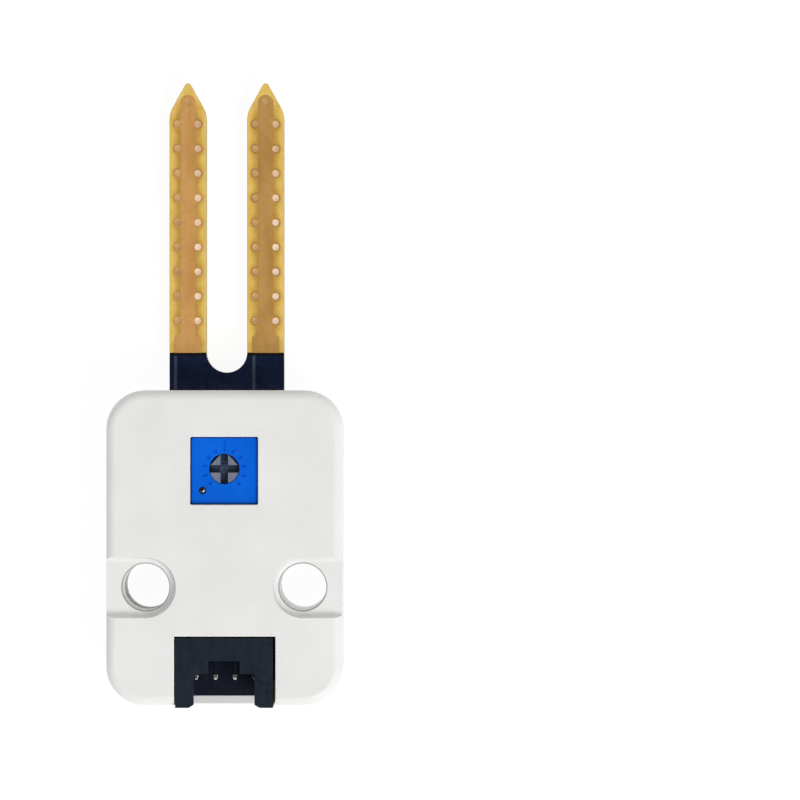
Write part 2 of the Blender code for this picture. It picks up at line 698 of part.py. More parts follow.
def make_socket():
    """The shroud: floor, side walls with overhanging edges, a roof with a notch, and a back wall."""
    shroud = block(
        "socket_shroud",
        (-SOCKET_HALF, SOCKET_FRONT, SOCKET_BOTTOM),
        (SOCKET_HALF, SOCKET_BACK, SOCKET_TOP),
    )
    front = SOCKET_FRONT - PAST
    roof = SOCKET_TOP - SOCKET_SKIN
    floor = SOCKET_BOTTOM + SOCKET_SKIN
    cavity = block(
        "cavity", (-SOCKET_CAVITY_HALF, front, floor), (SOCKET_CAVITY_HALF, SOCKET_CAVITY_BACK, roof)
    )
    floor_cut = block(
        "floor_cut",
        (-SOCKET_CAVITY_HALF, front, SOCKET_BOTTOM - PAST),
        (SOCKET_CAVITY_HALF, SOCKET_FLOOR_FRONT, floor + SOCKET_SKIN),
    )
    roof_cut = block(
        "roof_cut",
        (-SOCKET_ROOF_HALF, front, roof - SOCKET_SKIN),
        (SOCKET_ROOF_HALF, SOCKET_ROOF_FRONT, SOCKET_TOP + PAST),
    )
    roof_notch = block(
        "roof_notch",
        (-SOCKET_NOTCH_HALF, front, roof - SOCKET_SKIN),
        (SOCKET_NOTCH_HALF, SOCKET_NOTCH_BACK, SOCKET_TOP + PAST),
    )
    cut(shroud, cavity, floor_cut, roof_cut, roof_notch)
    for side in (1, -1):
        corner = side * SOCKET_ROOF_HALF
        back = SOCKET_FRONT + EAR_CHAMFER_Y
        run = EAR_CHAMFER_X / EAR_CHAMFER_Y
        wedge = [
            (corner - side * OVERLAP, front),
            (corner + side * (EAR_CHAMFER_X + run * PAST), front),
            (corner, back),
            (corner - side * OVERLAP, back),
        ]
        cut(shroud, prism("ear_chamfer", wedge, roof - SOCKET_SKIN, SOCKET_TOP + PAST))
    slot_half = PIN_SIZE / 2 + PIN_CLEARANCE
    for x in pin_places():
        slot = block(
            "pin_slot",
            (x - slot_half, SOCKET_CAVITY_BACK - PAST, PIN_HEIGHT - slot_half),
            (x + slot_half, SOCKET_BACK + PAST, PIN_HEIGHT + slot_half),
        )
        channel = block(
            "pin_channel",
            (x - PIN_CHANNEL_HALF, SOCKET_BACK - PIN_CHANNEL_DEPTH, SOCKET_BOTTOM - PAST),
            (x + PIN_CHANNEL_HALF, SOCKET_BACK + PAST, SOCKET_TOP + PAST),
        )
        cut(shroud, slot, channel)
    return finish(shroud, DARK_PLASTIC)


def make_pin():
    """A square pin: blade with a tapered tip, a leg down behind the socket and a foot on the board."""
    foot = BOARD_TOP + CONTACT_GAP + PIN_SIZE / 2
    blade = PIN_TIP + PIN_TIP_TAPER
    path = [(blade, PIN_HEIGHT), (PIN_LEG, PIN_HEIGHT), (PIN_LEG, foot), (PIN_FOOT_END, foot)]
    outline = ribbon(path, PIN_SIZE)
    narrow = PIN_SIZE / 4
    outline = [(PIN_TIP, PIN_HEIGHT + narrow), *outline, (PIN_TIP, PIN_HEIGHT - narrow)]
    pin = bar("socket_pin", outline, "X", -PIN_SIZE / 2, PIN_SIZE / 2)
    for side in (1, -1):
        face, edge = side * PIN_SIZE / 2, side * narrow
        reach = side * PAST
        slope = PIN_TIP_TAPER / (PIN_SIZE / 2 - narrow)
        wedge = [
            (face, blade),
            (edge - side * narrow, PIN_TIP - slope * narrow),
            (face + reach, PIN_TIP - slope * narrow),
            (face + reach, blade),
        ]
        cut(pin, prism("tip_side", wedge, PIN_HEIGHT - PIN_SIZE, PIN_HEIGHT + PIN_SIZE))
    return finish(pin, TINNED_METAL)


def make_anchor():
    """A metal tab against the socket's right side wall, with a foot that is soldered to the board."""
    half = (ANCHOR_BACK - ANCHOR_FRONT) / 2
    wall = SOCKET_HALF + FOIL_LIFT + ANCHOR_THICKNESS / 2
    foot = BOARD_TOP + FOIL_LIFT + ANCHOR_THICKNESS / 2
    path = [(wall, ANCHOR_TOP), (wall, foot), (wall + ANCHOR_FOOT, foot)]
    return finish(bar("socket_anchor", ribbon(path, ANCHOR_THICKNESS), "Y", -half, half), TINNED_METAL)


# ----------------------------------------------------------------- trimmer


def polar(radius, degrees_from_top):
    """A point by its radius and its clockwise angle from the rotor's +Y direction."""
    a = math.radians(degrees_from_top)
    return (TRIMMER_X + radius * math.sin(a), ROTOR_Y + radius * math.cos(a))


def scale_mark(index):
    """The outline of one mark of the scale round the rotor."""
    middle = (SCALE_MARKS - 1) / 2
    angle = math.degrees(ROTOR_TRAVEL) * (index - middle) / (SCALE_MARKS - 1)
    outer = LONG_MARK_OUTER if index == middle else MARK_OUTER
    points = []
    for radius, side in ((MARK_INNER, -1), (outer, -1), (outer, 1), (MARK_INNER, 1)):
        points.append(polar(radius, angle + side * math.degrees(MARK_HALF / radius)))
    return points


def make_trimmer_housing():
    def outline(inset):
        return rounded_rectangle(
            TRIMMER_HALF_X - inset,
            TRIMMER_HALF_Y - inset,
            TRIMMER_CORNER - inset,
            (TRIMMER_X, TRIMMER_Y),
            SMALL_ROUND_STEPS,
        )

    bottom = BOARD_TOP + CONTACT_GAP + TRIMMER_FOOT
    edge = TRIMMER_EDGE
    rounding = [(0, edge), (edge * 0.3, edge * 0.3), (edge, 0)]
    levels = [(0, bottom)] + [(inset, TRIMMER_TOP - depth) for inset, depth in rounding]
    housing = stack("trimmer_housing", outline, levels)
    reach_x, reach_y = TRIMMER_HALF_X - TRIMMER_CORNER, TRIMMER_HALF_Y - TRIMMER_CORNER
    for sx in (1, -1):
        for sy in (1, -1):
            x = sorted((sx * reach_x, sx * (reach_x - TRIMMER_FOOT_SIZE)))
            y = sorted((TRIMMER_Y + sy * reach_y, TRIMMER_Y + sy * (reach_y - TRIMMER_FOOT_SIZE)))
            foot = block("foot", (x[0], y[0], BOARD_TOP + CONTACT_GAP), (x[1], y[1], bottom + OVERLAP))
            add(housing, foot)
    base_half = TRIMMER_BASE_HALF + CONTACT_GAP
    base_low, base_high = (-base_half, TRIMMER_Y - base_half), (base_half, TRIMMER_Y + base_half)
    recess = block("recess", (*base_low, BOARD_TOP - PAST), (*base_high, ELEMENT_TOP + CONTACT_GAP))
    bore = turned(
        "bore",
        (TRIMMER_X, ROTOR_Y),
        [(TRIMMER_BORE, ELEMENT_TOP), (TRIMMER_BORE, TRIMMER_CEILING)],
    )
    rotor_hole = turned(
        "rotor_hole",
        (TRIMMER_X, ROTOR_Y),
        [(ROTOR_HOLE, TRIMMER_CEILING - OVERLAP), (ROTOR_HOLE, TRIMMER_TOP + PAST)],
    )
    cut(housing, recess, bore, rotor_hole)
    floor = TRIMMER_TOP - MARK_DEPTH
    for i in range(SCALE_MARKS):
        cut(housing, prism("mark", scale_mark(i), floor, TRIMMER_TOP + PAST))
    dimple = (TRIMMER_X + DIMPLE_X, TRIMMER_Y + DIMPLE_Y)
    dimple_levels = [(DIMPLE_RADIUS, TRIMMER_TOP - DIMPLE_DEPTH), (DIMPLE_RADIUS, TRIMMER_TOP + PAST)]
    cut(housing, turned("dimple", dimple, dimple_levels, POST_STEPS))
    return finish(housing, BLUE_PLASTIC)


def rotor_flat(side):
    """What lies outside a chord of the rotor's head, on one side of its pointer."""
    turn = side * ROTOR_FLAT_TURN
    out_x, out_y = math.sin(turn), math.cos(turn)
    near, far, half = ROTOR_FLAT, ROTOR_RADIUS + OVERLAP, ROTOR_RADIUS
    corners = ((near, -half), (far, -half), (far, half), (near, half))
    return [(out * out_x + along * out_y, out * out_y - along * out_x) for out, along in corners]


def make_rotor():
    """Flange and head, round the turning axis at X = Y = 0.

    The head has a screwdriver cross with a round pad in its middle. Two flats make it an arrow.
    """
    levels = [
        (ROTOR_FLANGE_RADIUS, ROTOR_FLANGE_BOTTOM),
        (ROTOR_FLANGE_RADIUS, ROTOR_FLANGE_TOP),
        (ROTOR_RADIUS, ROTOR_FLANGE_TOP),
        (ROTOR_RADIUS, ROTOR_TOP),
    ]
    rotor = turned("trimmer_rotor", (0.0, 0.0), levels)
    slot_floor = ROTOR_TOP - ROTOR_SLOT_DEPTH
    long_half, short_half = ROTOR_RADIUS + OVERLAP, ROTOR_SLOT_HALF
    cut_top = ROTOR_TOP + PAST
    for half_x, half_y in ((long_half, short_half), (short_half, long_half)):
        cut(rotor, prism("cross", rectangle(half_x, half_y), slot_floor, cut_top))
    for side in (1, -1):
        cut(rotor, prism("flat", rotor_flat(side), ROTOR_TOP - ROTOR_FLAT_DEPTH, cut_top))
    pad_levels = [(ROTOR_PAD_RADIUS, slot_floor - OVERLAP), (ROTOR_PAD_RADIUS, slot_floor + ROTOR_PAD_HEIGHT)]
    add(rotor, turned("pad", (0.0, 0.0), pad_levels, POST_STEPS))
    return finish(rotor, GREY_PLASTIC)


def make_seal():
    low = ROTOR_FLANGE_TOP + CONTACT_GAP
    high = TRIMMER_CEILING - CONTACT_GAP
    middle = (low + high) / 2
    slope = (high - low) / 4
    levels = [
        (SEAL_INNER, middle - slope),
        (SEAL_INNER + slope, low),
        (SEAL_OUTER - slope, low),
        (SEAL_OUTER, middle - slope),
        (SEAL_OUTER, middle + slope),
        (SEAL_OUTER - slope, high),
        (SEAL_INNER + slope, high),
        (SEAL_INNER, middle + slope),
    ]
    return finish(turned("trimmer_seal", (TRIMMER_X, ROTOR_Y), levels, ring=True), RED_RUBBER)


def make_wiper():
    """A spring disc under the rotor with a centre contact and one contact out on the resistive track.

    It turns with the rotor, about X = Y = 0.
    """
    top = ROTOR_FLANGE_BOTTOM - CONTACT_GAP
    disc_bottom = top - WIPER_THICKNESS
    foot = ELEMENT_TOP + CONTACT_GAP
    disc = [(WIPER_RADIUS, disc_bottom), (WIPER_RADIUS, top)]
    wiper = turned("trimmer_wiper", (0.0, 0.0), disc, POST_STEPS)
    for reach in (0.0, WIPER_REACH):
        contact = [
            (WIPER_TIP_RADIUS, foot),
            (2 * WIPER_TIP_RADIUS, disc_bottom),
            (2 * WIPER_TIP_RADIUS, top - CONTACT_GAP),
        ]
        add(wiper, turned("contact", (0.0, reach), contact, VIA_STEPS))
    return finish(wiper, TINNED_METAL)


def trimmer_base_outline():
    half = TRIMMER_BASE_HALF
    return rounded_rectangle(half, half, TRIMMER_CORNER, (TRIMMER_X, TRIMMER_Y), SMALL_ROUND_STEPS)


def make_element():
    """The ceramic plate that carries the resistive track."""
    low = TRIMMER_BASE_TOP + CONTACT_GAP
    return finish(prism("trimmer_element", trimmer_base_outline(), low, ELEMENT_TOP), CERAMIC)


def make_trimmer_base():
    """The sealed base that holds the terminals."""
    low, high = BOARD_TOP + CONTACT_GAP + TRIMMER_FOOT, TRIMMER_BASE_TOP
    base = prism("trimmer_base", trimmer_base_outline(), low, high)
    hole = TERMINAL_RADIUS + TERMINAL_FIT
    cut(base, drill(terminal_places(), hole, low - PAST, high + PAST, VIA_STEPS))
    return finish(base, BLUE_SEALANT)


def make_terminal():
    levels = [
        (TERMINAL_RADIUS * 0.7, TERMINAL_BOTTOM),
        (TERMINAL_RADIUS, TERMINAL_BOTTOM + TERMINAL_RADIUS),
        (TERMINAL_RADIUS, TRIMMER_BASE_TOP),
    ]
    return finish(turned("trimmer_terminal", (0.0, 0.0), levels, VIA_STEPS), TINNED_METAL)


# ------------------------------------------------------------- electronics


def make_comparator():
    """The chip's moulded body, widest at the lead frame."""

    def outline(inset):
        return rectangle(CHIP_HALF_X - inset, CHIP_HALF_Y - inset, (0.0, CHIP_Y))

    low = BOARD_TOP + CHIP_STANDOFF
    levels = [(CHIP_DRAFT, low), (0, low + CHIP_HEIGHT / 2), (CHIP_DRAFT, low + CHIP_HEIGHT)]
    return finish(stack("comparator_body", outline, levels), CHIP_PLASTIC)


def make_lead():
    """A gull-wing lead on the chip's right: out of its side, down and along the board."""
    start = CHIP_HALF_X + CONTACT_GAP
    knee = start + (LEAD_SPAN - LEAD_FOOT - start) / 2
    exit_height = BOARD_TOP + CHIP_STANDOFF + CHIP_HEIGHT / 2
    foot = BOARD_TOP + CONTACT_GAP + LEAD_THICKNESS / 2
    path = [(start, exit_height), (knee, exit_height), (LEAD_SPAN - LEAD_FOOT, foot), (LEAD_SPAN, foot)]
    return finish(bar("lead", ribbon(path, LEAD_THICKNESS), "Y", -LEAD_HALF, LEAD_HALF), TINNED_METAL)


def lead_places():
    """Name, X, Y and turn of the chip's leads, counted down its left side and up its right side."""
    places = []
    for i in range(8):
        row = (1.5 - i) * LEAD_PITCH if i < 4 else (i - 5.5) * LEAD_PITCH
        places.append((f"comparator_lead_{i + 1}", 0.0, CHIP_Y + row, math.pi if i < 4 else 0.0))
    return places


def make_chip_part(name, height, look):
    """A surface-mounted resistor or capacitor: a block with slightly larger metal ends."""
    low = BOARD_TOP + CONTACT_GAP
    half_x, half_y = CHIP_PART_HALF_X, CHIP_PART_HALF_Y
    step = CHIP_PART_STEP
    body_low = (step - half_x, step - half_y, low + step)
    body_high = (half_x - step, half_y - step, low + height - step)
    chip = block(name, body_low, body_high)
    for y in (-half_y, half_y - CHIP_PART_END):
        add(chip, block("end", (-half_x, y, low), (half_x, y + CHIP_PART_END, low + height)))
    return finish(chip, look)


# ---------------------------------------------------------------- assembly


def main():
    for obj in list(bpy.data.objects):
        bpy.data.objects.remove(obj)
    sensor = empty("sensor")
    rotor_axis = empty("rotor_axis", sensor, TRIMMER_X, ROTOR_Y)

    fixed = (
        make_bottom_shell,
        make_top_shell,
        make_board,
        make_socket,
        make_trimmer_housing,
        make_seal,
        make_element,
        make_trimmer_base,
        make_comparator,
    )
    for make in fixed:
        place(make(), sensor)
    for make in (make_rotor, make_wiper):
        place(make(), rotor_axis)

    prongs = [("left_electrode", -PRONG_X, 0.0, 0.0), ("right_electrode", PRONG_X, 0.0, 0.0)]
    place_copies(make_electrode(), sensor, prongs)
    pins = [(f"socket_pin_{i + 1}", x, 0.0, 0.0) for i, x in enumerate(pin_places())]
    place_copies(make_pin(), sensor, pins)
    anchor_y = (ANCHOR_FRONT + ANCHOR_BACK) / 2
    anchors = [("socket_anchor_right", 0.0, anchor_y, 0.0), ("socket_anchor_left", 0.0, anchor_y, math.pi)]
    place_copies(make_anchor(), sensor, anchors)
    terminals = [(f"trimmer_terminal_{i + 1}", x, y, 0.0) for i, (x, y) in enumerate(terminal_places())]
    place_copies(make_terminal(), sensor, terminals)
    place_copies(make_lead(), sensor, lead_places())

    columns = enumerate((-3, -2, 2, 3))
    resistors = [(f"resistor_{i + 1}", column * CHIP_PART_X, CHIP_PART_Y, 0.0) for i, column in columns]
    place_copies(make_chip_part("resistor", RESISTOR_HEIGHT, RESISTOR_COAT), sensor, resistors)
    columns = enumerate((-1, 1))
    capacitors = [(f"capacitor_{i + 1}", column * CHIP_PART_X, CHIP_PART_Y, 0.0) for i, column in columns]
    place_copies(make_chip_part("capacitor", CAPACITOR_HEIGHT, CAPACITOR_CERAMIC), sensor, capacitors)


main()
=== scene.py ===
"""Soil moisture sensor, dressed for rendering.

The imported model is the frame. The pieces that can be seen are remade here with finer rounding, and the
rest keep their shape and get a finish. Lengths are in metres.
"""

import math

import bmesh
import bpy
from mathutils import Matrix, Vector


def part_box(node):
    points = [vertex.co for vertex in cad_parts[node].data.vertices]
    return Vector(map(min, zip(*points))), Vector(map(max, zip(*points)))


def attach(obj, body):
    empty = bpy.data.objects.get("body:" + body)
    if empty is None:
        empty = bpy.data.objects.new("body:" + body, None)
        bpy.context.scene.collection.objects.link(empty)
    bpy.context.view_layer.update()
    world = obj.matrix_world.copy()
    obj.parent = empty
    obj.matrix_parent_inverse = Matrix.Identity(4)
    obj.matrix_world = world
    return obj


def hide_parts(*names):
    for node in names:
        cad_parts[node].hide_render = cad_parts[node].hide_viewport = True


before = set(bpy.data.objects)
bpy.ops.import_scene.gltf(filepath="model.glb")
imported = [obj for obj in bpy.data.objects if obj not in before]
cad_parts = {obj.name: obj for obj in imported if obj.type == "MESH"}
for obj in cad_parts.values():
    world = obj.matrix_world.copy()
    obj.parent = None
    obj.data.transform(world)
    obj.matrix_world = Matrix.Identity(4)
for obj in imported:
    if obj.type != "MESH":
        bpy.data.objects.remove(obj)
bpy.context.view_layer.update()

MM = 0.001
BODY = "sensor_body"
ROTOR = "rotor_body"

# Sizes that the frame states
CASE_LOW, CASE_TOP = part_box("bottom_shell")[0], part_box("top_shell")[1]
CASE_HALF_X, CASE_HALF_Y, CASE_HEIGHT = CASE_TOP.x, CASE_TOP.y, CASE_TOP.z
BOARD_LOW, BOARD_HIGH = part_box("circuit_board")
BOARD_BOTTOM, BOARD_TOP, TIP_Y = BOARD_LOW.z, BOARD_HIGH.z, BOARD_HIGH.y
FOIL_LOW, FOIL_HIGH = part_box("right_electrode")
PRONG_X = (FOIL_LOW.x + FOIL_HIGH.x) / 2
SOCKET_LOW, SOCKET_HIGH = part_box("socket_shroud")
HOUSING_LOW, HOUSING_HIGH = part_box("trimmer_housing")
TRIMMER_X = (HOUSING_LOW.x + HOUSING_HIGH.x) / 2
TRIMMER_Y = (HOUSING_LOW.y + HOUSING_HIGH.y) / 2
TRIMMER_TOP = HOUSING_HIGH.z
ROTOR_LOW, ROTOR_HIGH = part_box("trimmer_rotor")
ROTOR_X = (ROTOR_LOW.x + ROTOR_HIGH.x) / 2
ROTOR_Y = (ROTOR_LOW.y + ROTOR_HIGH.y) / 2
ROTOR_TOP = ROTOR_HIGH.z

# Case
CASE_CORNER = 4.0 * MM
EDGE_ROUND = 1.0 * MM
WALL = 1.2 * MM
FACE = 0.95 * MM
SEAM_GAP = 0.1 * MM
SEAM_EDGE = 0.1 * MM
RIM = (CASE_HEIGHT - SEAM_GAP) / 2
LIP_STEP = 0.7 * MM
LIP_HEIGHT = 0.6 * MM
LIP_SIDE_GAP = 0.08 * MM
LIP_END_GAP = 0.2 * MM
LIP_GAP_SINK = 0.01 * MM
HOLE_X = 8.0 * MM
HOLE_Y = -4.0 * MM
BORE_RADIUS = 2.4 * MM
BORE_ROUND = 0.07 * MM
POCKET_DEPTH = 0.8 * MM
POCKET_RADIUS = 2.5 * MM
POCKET_FILLET = 0.45 * MM
POCKET_DRAFT = 0.12 * MM
POCKET_RIM_ROUND = 0.08 * MM
POCKET_PAD_RADIUS = 4.0 * MM
POCKET_PAD_DEPTH = 1.7 * MM
BOSS_RADIUS = 3.4 * MM
WINDOW_HALF = 3.45 * MM
WINDOW_CORNER = 0.15 * MM
MOUTH_ROUND = 0.1 * MM
CUTOUT_LEFT = -5.08 * MM
CUTOUT_RIGHT = 5.22 * MM
CUTOUT_BACK = -9.0 * MM
CUTOUT_LIP_TOP = 3.25 * MM
SILL_HALF = 3.8 * MM
SILL_LOW = 2.2 * MM
SILL_SLOPE = 0.6 * MM
TAB_POCKET_HALF = 5.8 * MM
TAB_POCKET_BACK = -15.45 * MM
CLEAR = 0.1 * MM

# Board and electrodes
NECK_HALF = 5.93 * MM
PRONG_GAP = 4.2 * MM
PRONG_HALF = (NECK_HALF - PRONG_GAP / 2) / 2
CROTCH_Y = CASE_HALF_Y + 1.85 * MM + PRONG_GAP / 2
MASK_Y = CASE_HALF_Y + 3.9 * MM
MASK = 0.02 * MM
MASK_INSET = 0.01 * MM
MASK_SINK = 0.01 * MM
MASK_INNER_Y = CASE_HALF_Y - WALL - 1.4 * MM
TRACE_X = (-5.3 * MM, 2.79 * MM)
TRACE_HALF = 0.15 * MM
TRACE_RISE = 0.008 * MM
BOARD_EDGE = 0.08 * MM
FORK_INNER_Y = CASE_HALF_Y - WALL - 1.5 * MM
NECK_CORNER = 0.12 * MM
PLATE_GAP = 0.15 * MM
PLATE_SHIFT = 0.4 * MM
PLATE_CORNER = 2.65 * MM
PLATE_NOTCH = 4.15 * MM
BOARD_TAB_HALF = 5.7 * MM
BOARD_TAB_INNER_Y = -10 * MM
TAPER_ANGLE = math.radians(29)
TIP_RADIUS = 0.35 * MM
TAPER_SHOULDER = 2.9 * MM
FOIL = 0.035 * MM
FOIL_LIFT = 0.004 * MM
STRIP_HALF = 0.78 * MM
ROOT_HALF = 1.35 * MM
ROOT_TOP = 21.6 * MM
ROOT_BLEND = 1.0 * MM
ROOT_UNDER_MASK = 0.02 * MM
PAD_RADIUS = 0.5 * MM
BARREL_RADIUS = 0.42 * MM
BARREL_GAP = 0.015 * MM
VIA_RADIUS = 0.35 * MM
VIA_FLARE = 0.05 * MM
VIA_FLARE_STRETCH = 1.6
FILL_GAP = 0.004 * MM
FILL_SINK = 0.05 * MM
FILL_DIP = 0.06 * MM
FILL_STEPS = 6
VIA_X = 1.04 * MM
VIA_PITCH = 2.54 * MM
VIA_ROWS = 9
END_VIA_Y = TIP_Y - 2.0 * MM
FIRST_ROW_Y = TIP_Y - 4.25 * MM

# Socket
SOCKET_SKIN = 0.55 * MM
SOCKET_FLOOR_FRONT = -15.4 * MM
SOCKET_CAVITY_HALF = 4.0 * MM
SOCKET_CAVITY_BACK = -10.4 * MM
SOCKET_ROOF_HALF = 3.1 * MM
SOCKET_ROOF_FRONT = -12.8 * MM
SOCKET_NOTCH_HALF = 1.6 * MM
SOCKET_NOTCH_BACK = -11.5 * MM
EAR_CHAMFER_X = 0.5 * MM
EAR_CHAMFER_Y = 0.3 * MM
SOCKET_SHADE_LEVEL = 5.4 * MM
PIN_PITCH = 2.0 * MM
PIN_SIZE = 0.5 * MM
PIN_TIP = -13.6 * MM
PIN_TIP_TAPER = 0.35 * MM
PIN_HEIGHT = 5.4 * MM
PIN_LEG = -8.95 * MM
PIN_FOOT_END = -7.5 * MM
PIN_GAP = 0.05 * MM
CHANNEL_HALF = 0.35 * MM
CHANNEL_RISE = 0.4 * MM
TAB_FRONT = -15.85 * MM
TAB_TOP = 6.6 * MM
TAB_THICK = 0.15 * MM
TAB_BEND = 0.12 * MM
TONGUE_DROP = 0.25 * MM

# Trimmer
HOUSING_CORNER = 0.25 * MM
HOUSING_ROUND = 0.15 * MM
HOUSING_BASE = 0.25 * MM
HOUSING_BORE = 2.55 * MM
HOUSING_CEILING = 6.85 * MM
ROTOR_HOLE = 1.54 * MM
ROTOR_HOLE_BREAK = 0.06 * MM
FLANGE_RADIUS = 2.35 * MM
FLANGE_TOP = 5.95 * MM
ROTOR_RADIUS = 1.49 * MM
ROTOR_SLOT_HALF = 0.39 * MM
ROTOR_SLOT_DEPTH = 0.75 * MM
ROTOR_PAD_RADIUS = 0.5 * MM
ROTOR_PAD_HEIGHT = 0.12 * MM
ROTOR_FLAT = 1.27 * MM
ROTOR_FLAT_TURN = math.radians(48)
ROTOR_FLAT_DEPTH = 0.5 * MM
ROTOR_SHADE_DEPTH = 0.32 * MM
ROTOR_TRAVEL = 270
SCALE_MARKS = 11
MARK_INNER = 1.8 * MM
MARK_OUTER = 2.25 * MM
LONG_MARK_OUTER = 2.85 * MM
MARK_HALF = 0.13 * MM
MARK_DEPTH = 0.12 * MM
MARK_SECTION = (
    (-0.03 * MM, -MARK_DEPTH),
    (0.0, -MARK_DEPTH * 0.7),
    (0.02 * MM, -0.01 * MM),
    (0.05 * MM, 0.02 * MM),
)
DIMPLE_X = -2.2 * MM
DIMPLE_Y = -2.0 * MM
DIMPLE_RADIUS = 0.38 * MM
DIMPLE_DEPTH = 0.25 * MM
DIMPLE_BREAK = 0.04 * MM
BEAD_GAP = 0.01 * MM
BEAD_LEVEL = 0.08 * MM
BEAD_RADIUS = 0.75 * MM
BEAD_REACH = 0.27 * MM
BEAD_LEAN = 0.125

# Light table, lamp, white tent and camera
FLOOR_HALF = 2.5
FLOOR_CELLS = 40
FLOOR_DROP = 0.02 * MM
FLOOR_GLOW = 0.91
LAMP_PLACE = Vector((0.36, -0.40, 0.59))
LAMP_TARGET = Vector((0.0, 0.012, 0.004))
LAMP_SIZE = 0.42
LAMP_POWER = 3.7
TENT_RISE = (0.05, 0.5)
TENT_FALL = (0.75, 0.97)
TENT_LOW = 0.3
TENT_SIDES = 0.85
TENT_OVERHEAD = 0.08
CAMERA_PLACE = (17.9 * MM, 15.06 * MM, 330 * MM)
CAMERA_LENS = 142.5
CAMERA_SENSOR = 36.0

# Fineness
CORNER_STEPS = 20
ROUND_STEPS = 10
FINE_STEPS = 5
BOARD_EDGE_STEPS = 3
TAB_BEND_STEPS = 4
HOUSING_STEPS = 8
MARK_STEPS = 6
HOLE_STEPS = 96
VIA_STEPS = 24
SMALL_STEPS = 48
BEAD_STEPS = 32
BEAD_LEVELS = 12
SMOOTH_UNDER = math.radians(35)

# How far a tool runs past what it cuts, and how far joined bodies run into each other
PAST = 1.0 * MM
OVERLAP = 0.45 * MM


# ---------------------------------------------------------------- outlines


def arc(centre_x, centre_y, radius, start, end, steps):
    turns = [math.radians(start + (end - start) * i / steps) for i in range(steps + 1)]
    return [(centre_x + radius * math.cos(a), centre_y + radius * math.sin(a)) for a in turns]


def circle(radius, centre=(0.0, 0.0), steps=HOLE_STEPS):
    return arc(*centre, radius, 0, 360, steps)[:-1]


def rectangle(half_x, half_y, centre=(0.0, 0.0)):
    x, y = centre
    return [(x + sx * half_x, y + sy * half_y) for sx, sy in ((1, 1), (-1, 1), (-1, -1), (1, -1))]


def rounded_rectangle(half_x, half_y, radius, centre=(0.0, 0.0), steps=CORNER_STEPS):
    x, y = centre
    inner_x, inner_y = half_x - radius, half_y - radius
    points = []
    for quarter, (sx, sy) in enumerate(((1, 1), (-1, 1), (-1, -1), (1, -1))):
        start = 90 * quarter
        points += arc(x + sx * inner_x, y + sy * inner_y, radius, start, start + 90, steps)
    return points


def mirrored(points):
    return points + [(-x, y) for x, y in reversed(points) if x != 0.0]


def quarter_round(radius, steps=FINE_STEPS):
    """(inset, depth) pairs of a rounded edge, from its outer face inwards."""
    angles = [math.pi / 2 * i / steps for i in range(steps + 1)]
    return [(radius * (1 - math.sin(a)), radius * (1 - math.cos(a))) for a in angles]


# ------------------------------------------------------------- solid tools


def body_from(name, bm):
    bmesh.ops.recalc_face_normals(bm, faces=bm.faces)
    mesh = bpy.data.meshes.new(name)
    bm.to_mesh(mesh)
    bm.free()
    body = bpy.data.objects.new(name, mesh)
    bpy.context.scene.collection.objects.link(body)
    return body


def stack(name, outline, levels, ring=False):
    """A body through outline(size) at each (size, height) of levels."""
    bm = bmesh.new()
    loops = [[bm.verts.new((x, y, z)) for x, y in outline(size)] for size, z in levels]
    pairs = list(zip(loops, loops[1:]))
    if ring:
        pairs.append((loops[-1], loops[0]))
    for low, high in pairs:
        for i in range(len(low)):
            bm.faces.new((low[i - 1], low[i], high[i], high[i - 1]))
    if not ring:
        bm.faces.new(loops[0])
        bm.faces.new(loops[-1])
    return body_from(name, bm)


def turned(name, centre, levels, steps=HOLE_STEPS, ring=False):
    return stack(name, lambda radius: circle(radius, centre, steps), levels, ring)


def prism(name, outline, low, high):
    return stack(name, lambda _: outline, [(0, low), (0, high)])


def block(name, low, high):
    centre = ((low[0] + high[0]) / 2, (low[1] + high[1]) / 2)
    outline = rectangle((high[0] - low[0]) / 2, (high[1] - low[1]) / 2, centre)
    return prism(name, outline, low[2], high[2])


def merged(pieces):
    bm = bmesh.new()
    for piece in pieces:
        bm.from_mesh(piece.data)
        bpy.data.objects.remove(piece)
    return body_from("tool", bm)


def apply_boolean(body, operation, tool):
    modifier = body.modifiers.new(operation, "BOOLEAN")
    modifier.operation = operation
    modifier.solver = "EXACT"
    modifier.object = tool
    graph = bpy.context.evaluated_depsgraph_get()
    result = bpy.data.meshes.new_from_object(body.evaluated_get(graph))
    body.modifiers.remove(modifier)
    body.data = result
    bpy.data.objects.remove(tool)


def add(body, *pieces):
    for piece in pieces:
        apply_boolean(body, "UNION", piece)


def cut(body, *pieces):
    for piece in pieces:
        apply_boolean(body, "DIFFERENCE", piece)


def dress(piece, material, body=BODY, replaced=(), bevel=0.0, segments=2):
    """Shades, bevels and paints a piece, fixes it to its body and hides the nodes that it stands for."""
    piece.data.materials.clear()
    piece.data.materials.append(material)
    if bevel:
        soft = piece.modifiers.new("bevel", "BEVEL")
        soft.width = bevel
        soft.segments = segments
        soft.limit_method = "ANGLE"
        soft.angle_limit = SMOOTH_UNDER
    piece.data.shade_smooth()
    piece.data.set_sharp_from_angle(angle=SMOOTH_UNDER)
    flat = piece.modifiers.new("weights", "WEIGHTED_NORMAL")
    flat.keep_sharp = True
    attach(piece, body)
    if replaced:
        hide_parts(*replaced)
    return piece


# -------------------------------------------------------------- materials


